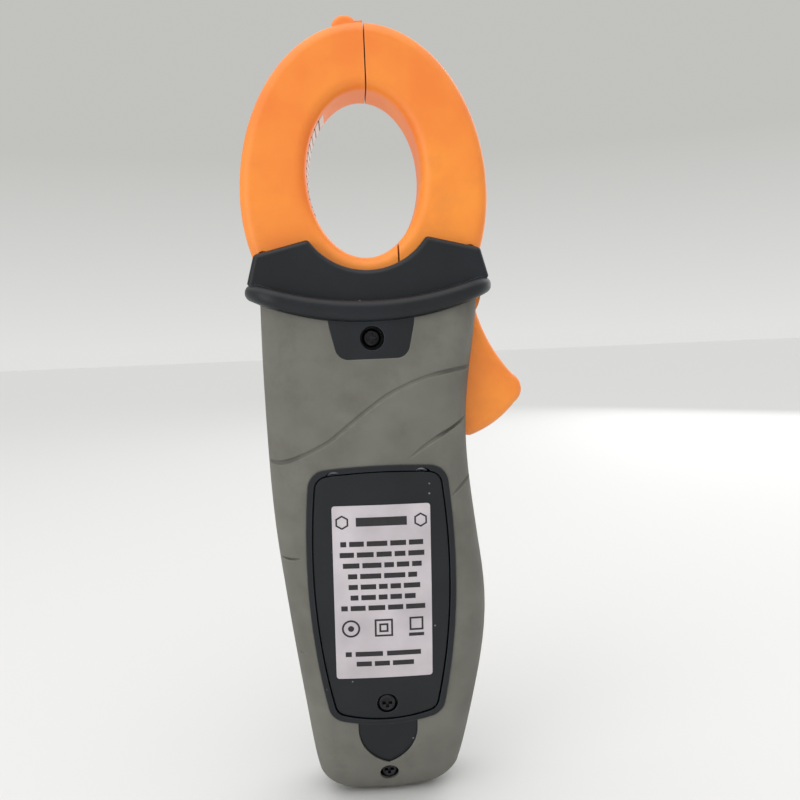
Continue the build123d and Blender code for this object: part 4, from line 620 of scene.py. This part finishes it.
# flat printed marks in the XZ plane: bars are (x, z, width, height),
# outlines are (sides, x, z, radius, line, turn)
def drawMarks(name, bars, outlines, level):
    made = []
    for x, z, width, height in bars:
        bpy.ops.mesh.primitive_plane_add(size=1.0, location=(x * mm, level, z * mm), rotation=faceRear)
        mark = bpy.context.object
        mark.scale = (width * mm, height * mm, 1.0)
        made.append(mark)
    for sides, x, z, radius, line, turn in outlines:
        bpy.ops.mesh.primitive_circle_add(vertices=sides, radius=radius * mm, fill_type="NGON",
                                          location=(x * mm, level, z * mm), rotation=faceRear)
        mark = bpy.context.object
        bpy.ops.object.mode_set(mode="EDIT")
        bpy.ops.mesh.select_all(action="SELECT")
        bpy.ops.transform.rotate(value=math.radians(turn), orient_axis="Y",
                                 center_override=mark.location)
        if line < radius:
            bpy.ops.mesh.inset(thickness=line * mm)
            bpy.ops.mesh.delete(type="FACE")
        bpy.ops.object.mode_set(mode="OBJECT")
        made.append(mark)
    return joinPieces(made, name)


# turns the marks about Y round a label's middle, lays them on a CAD surface and gives them their ink
def layMarks(marks, s):
    pickOnly(marks)
    bpy.ops.object.mode_set(mode="EDIT")
    bpy.ops.mesh.select_all(action="SELECT")
    if s.get("turn"):
        bpy.ops.transform.rotate(value=math.radians(s["turn"]), orient_axis="Y",
                                 center_override=s["middle"])
    if s.get("cuts"):
        bpy.ops.mesh.subdivide(number_cuts=s["cuts"])
    bpy.ops.object.mode_set(mode="OBJECT")
    if s.get("onto"):
        wrap = marks.modifiers.new("lay", "SHRINKWRAP")
        wrap.wrap_method, wrap.target = "PROJECT", nodes[s["onto"]]
        wrap.use_project_y, wrap.use_negative_direction, wrap.use_positive_direction = True, True, False
        bpy.ops.object.modifier_apply(modifier=wrap.name)
    body = marks.modifiers.new("ink", "SOLIDIFY")
    body.thickness, body.offset = s["ink"], 1.0
    bpy.ops.object.modifier_apply(modifier=body.name)
    pickOnly(marks)
    bpy.ops.object.mode_set(mode="EDIT")
    bpy.ops.mesh.select_all(action="SELECT")
    bpy.ops.mesh.normals_make_consistent(inside=False)
    bpy.ops.object.mode_set(mode="OBJECT")
    wear(marks, s["finish"])
    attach(marks, s["body"])
    return marks


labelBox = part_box("door_label")
labelMiddle = (labelBox[0] + labelBox[1]) / 2
labelPrint = {
    "onto": "door_label", "body": "door", "slot": "abs_black", "finish": blackInk, "ink": 0.03 * mm,
    "drawnAt": 30 * mm,
    "cuts": 3, "turn": 1.0, "middle": labelMiddle, "rowGap": 2.87, "rowTop": 13.4, "rowHeight": 1.35,
    "rowLengths": [21.5, 22.0, 20.5, 18.0, 19.5, 17.0, 22.0], "word": (2.2, 5.6), "wordGap": 0.75,
    "shortest": 1.0,
    "heading": (0, 19.2, 13.2, 2.3), "signBar": (-8.6, -11.6, 4.0, 0.9), "seed": 11,
    "footRows": [(-16.6, ((-5.2, 9.0), (4.0, 7.2), (9.4, 1.6))),
                 (-19.4, ((-5.0, 5.6), (0.6, 4.0), (5.4, 4.0)))],
    "signs": [  # sides, x, z, radius, line, turn
        (6, -10.2, 19.2, 1.9, 0.42, 0), (6, 10.2, 19.2, 1.9, 0.42, 0), (32, 8.6, -9.4, 2.4, 0.5, 0),
        (32, 8.6, -9.4, 0.8, 1.0, 0), (4, 0, -9.4, 3.4, 0.5, 45), (4, 0, -9.4, 1.7, 0.5, 45),
        (4, -8.6, -8.6, 2.6, 0.5, 45)],
}


# the label's print: a heading, seven rows of plain word bars, three plain signs and two rows below
def addLabelPrint(s):
    draw = random.Random(s["seed"])
    cx, cz = labelMiddle.x / mm, labelMiddle.z / mm
    bars = [s["heading"]]
    for row, length in enumerate(s["rowLengths"]):
        left, end = -length / 2, length / 2
        while left < end - s["shortest"]:
            width = min(draw.uniform(*s["word"]), end - left)
            bars.append((left + width / 2, s["rowTop"] - row * s["rowGap"], width, s["rowHeight"]))
            left += width + s["wordGap"]
    for z, words in s["footRows"]:
        bars += [(x, z, width, s["rowHeight"]) for x, width in words]
    bars.append(s["signBar"])
    placedBars = [(cx + x, cz + z, width, height) for x, z, width, height in bars]
    placedSigns = [(sides, cx + x, cz + z, *shape) for sides, x, z, *shape in s["signs"]]
    layMarks(drawMarks("label_print", placedBars, placedSigns, s["drawnAt"]), s)


addLabelPrint(labelPrint)
print("stage: label print")

# seven-bar figures and a bar scale on the display
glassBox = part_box("lcd_glass")
displayMarks = {
    "body": "root", "slot": "abs_black", "finish": blackInk, "ink": 0.04 * mm,
    "figureWidth": 5.2, "figureHeight": 10.5, "stroke": 1.0, "pitch": 7.4, "raise": 2.0,
    "point": (0.02, 1.0),
    "scaleTicks": 21, "tickGap": 1.35, "tickWidth": 0.5, "tickHeights": (2.4, 1.4), "scaleDrop": 9.4,
    "baseLine": (11.6, 27.6, 0.35),
}


def addDisplayMarks(s):
    cz = (glassBox[0].z + glassBox[1].z) / 2 / mm
    wide, tall, stroke = s["figureWidth"], s["figureHeight"], s["stroke"]
    bars = []
    for place in (-1.5, -0.5, 0.5, 1.5):
        cx = place * s["pitch"]
        for dz in (-tall / 2, tall / 2):
            bars.append((cx, cz + s["raise"] + dz, wide - stroke, stroke))
        for dx in (-wide / 2, wide / 2):
            for dz in (-tall / 4, tall / 4):
                bars.append((cx + dx, cz + s["raise"] + dz, stroke, tall / 2 - stroke * 1.3))
    share, size = s["point"]
    bars.append((s["pitch"] * share, cz + s["raise"] - tall / 2, size, size))
    for tick in range(s["scaleTicks"]):
        height = s["tickHeights"][0 if tick % 5 == 0 else 1]
        bars.append(((tick - s["scaleTicks"] // 2) * s["tickGap"], cz - s["scaleDrop"], s["tickWidth"],
                     height))
    drop, length, line = s["baseLine"]
    bars.append((0, cz - drop, length, line))
    layMarks(drawMarks("display_figures", bars, [], glassBox[0].y - s["ink"]), s)


addDisplayMarks(displayMarks)

# printed ticks round the selector and plain signs over the keys
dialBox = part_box("dial_knob")
panelPrint = {"body": "root", "slot": "label_white", "finish": whiteInk, "ink": 0.03 * mm,
              "ringRadius": 17.6, "tick": (0.5, 1.7), "positions": 12, "keyLine": (5.0, 0.45),
              "keyGap": 0.9}


def addPanelPrint(s):
    made = []
    cz = (dialBox[0].z + dialBox[1].z) / 2
    level = panelLevel - s["ink"]
    for step in range(s["positions"]):
        turn = 2 * math.pi * step / s["positions"]
        bpy.ops.mesh.primitive_plane_add(size=1.0, rotation=faceRear, location=(
            s["ringRadius"] * mm * math.sin(turn), level, cz + s["ringRadius"] * mm * math.cos(turn)))
        tick = bpy.context.object
        tick.scale = (s["tick"][0] * mm, s["tick"][1] * mm, 1.0)
        bpy.ops.object.transform_apply(location=False, rotation=False, scale=True)
        bpy.ops.object.mode_set(mode="EDIT")
        bpy.ops.mesh.select_all(action="SELECT")
        bpy.ops.transform.rotate(value=-turn, orient_axis="Y", center_override=tick.location)
        bpy.ops.object.mode_set(mode="OBJECT")
        made.append(tick)
    for name in ("button_mode", "button_range", "button_hold", "button_light"):
        low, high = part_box(name)
        bpy.ops.mesh.primitive_plane_add(size=1.0, rotation=faceRear,
                                         location=((low.x + high.x) / 2, level,
                                                   high.z + s["keyGap"] * mm))
        line = bpy.context.object
        line.scale = (s["keyLine"][0] * mm, s["keyLine"][1] * mm, 1.0)
        made.append(line)
    layMarks(joinPieces(made, "panel_print"), s)


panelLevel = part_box("lcd_window")[0].y - 0.1 * mm  # the window lies that much below the panel
addPanelPrint(panelPrint)

# one plain sign on each key
keySigns = {"slot": "abs_black", "finish": blackInk, "ink": 0.02 * mm, "radius": 1.25, "line": 0.35,
            "sides": {"mode": 3, "range": 4, "hold": 24, "light": 6}}


def addKeySigns(s):
    for key, sides in s["sides"].items():
        low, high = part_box("button_" + key)
        cx, cz = (low.x + high.x) / 2 / mm, (low.z + high.z) / 2 / mm
        sign = drawMarks("key_sign_" + key, [], [(sides, cx, cz, s["radius"], s["line"], 0)],
                         low.y - s["ink"])
        layMarks(sign, dict(s, body="key_" + key))


addKeySigns(keySigns)
print("stage: display and panel print")

rearView = {"place": (7.0 * mm, 219.9 * mm, -43.2 * mm), "target": (-6.4 * mm, 17 * mm, -58.9 * mm),
            "roll": -2.35, "lens": 36.0}


def addCamera(s):
    bpy.ops.object.camera_add(location=s["place"])
    camera = bpy.context.object
    camera.name = "rearCamera"
    camera.data.lens, camera.data.sensor_width, camera.data.clip_start = s["lens"], 36.0, 0.005
    aim = (Vector(s["target"]) - Vector(s["place"])).to_track_quat("-Z", "Y")
    roll = Matrix.Rotation(math.radians(s["roll"]), 3, "Z")
    camera.rotation_euler = (aim.to_matrix() @ roll).to_euler()
    bpy.context.scene.camera = camera


addCamera(rearView)
bpy.context.scene.view_settings.view_transform = "Standard"

studio = {
    "lampTarget": (0, 0, -60 * mm),
    "floorGap": 1.0 * mm, "floorSize": 12.0, "floor": "#D9D9D8", "horizon": "#D4D4D3",
    "backdrop": "#B6B6B3", "ceiling": "#FFFFFF",
    "skyStrength": 1.15,
    "lamps": {
        "overhead": {"at": (0.10, 0.32, 0.70), "size": 0.8, "watts": 1.9},
        "window": {"at": (0.65, 0.55, 0.05), "size": 0.6, "watts": 2.0},
        "fill": {"at": (-0.60, -0.70, 0.30), "size": 0.8, "watts": 2.6},
    },
}


def addStudio(s):
    bpy.ops.object.select_all(action="DESELECT")
    bpy.ops.mesh.primitive_plane_add(size=s["floorSize"], location=(0, 0, cadBox[0][2] - s["floorGap"]))
    floor = bpy.context.object
    floor.name = "paleFloor"
    mat, tree, shader = newMaterial("mattPaleBoard")
    shader.inputs["Base Color"].default_value = linearColour(s["floor"])
    shader.inputs["Roughness"].default_value = 0.7
    wear(floor, mat)
    world = bpy.data.worlds.new("softStudio")
    world.use_nodes = True
    ray = addNode(world.node_tree, "ShaderNodeTexCoord").outputs["Generated"]
    axes = addNode(world.node_tree, "ShaderNodeSeparateXYZ", links={"Vector": ray})
    rise = setRamp(addNode(world.node_tree, "ShaderNodeValToRGB", links={"Fac": axes.outputs["Z"]}),
                   [(0.0, linearColour(s["horizon"])), (0.22, linearColour(s["backdrop"])),
                    (0.42, linearColour(s["backdrop"])), (0.62, linearColour(s["ceiling"]))])
    background = world.node_tree.nodes["Background"]
    background.inputs["Strength"].default_value = s["skyStrength"]
    world.node_tree.links.new(rise.outputs["Color"], background.inputs["Color"])
    bpy.context.scene.world = world
    for name, lampSet in s["lamps"].items():
        bpy.ops.object.light_add(type="AREA", location=lampSet["at"])
        lamp = bpy.context.object
        lamp.name = name + "Lamp"
        lamp.data.energy, lamp.data.size = lampSet["watts"], lampSet["size"]
        aim = (Vector(s["lampTarget"]) - Vector(lampSet["at"])).to_track_quat("-Z", "Y")
        lamp.rotation_euler = aim.to_euler()


addStudio(studio)
print("stage: camera, lights and floor")
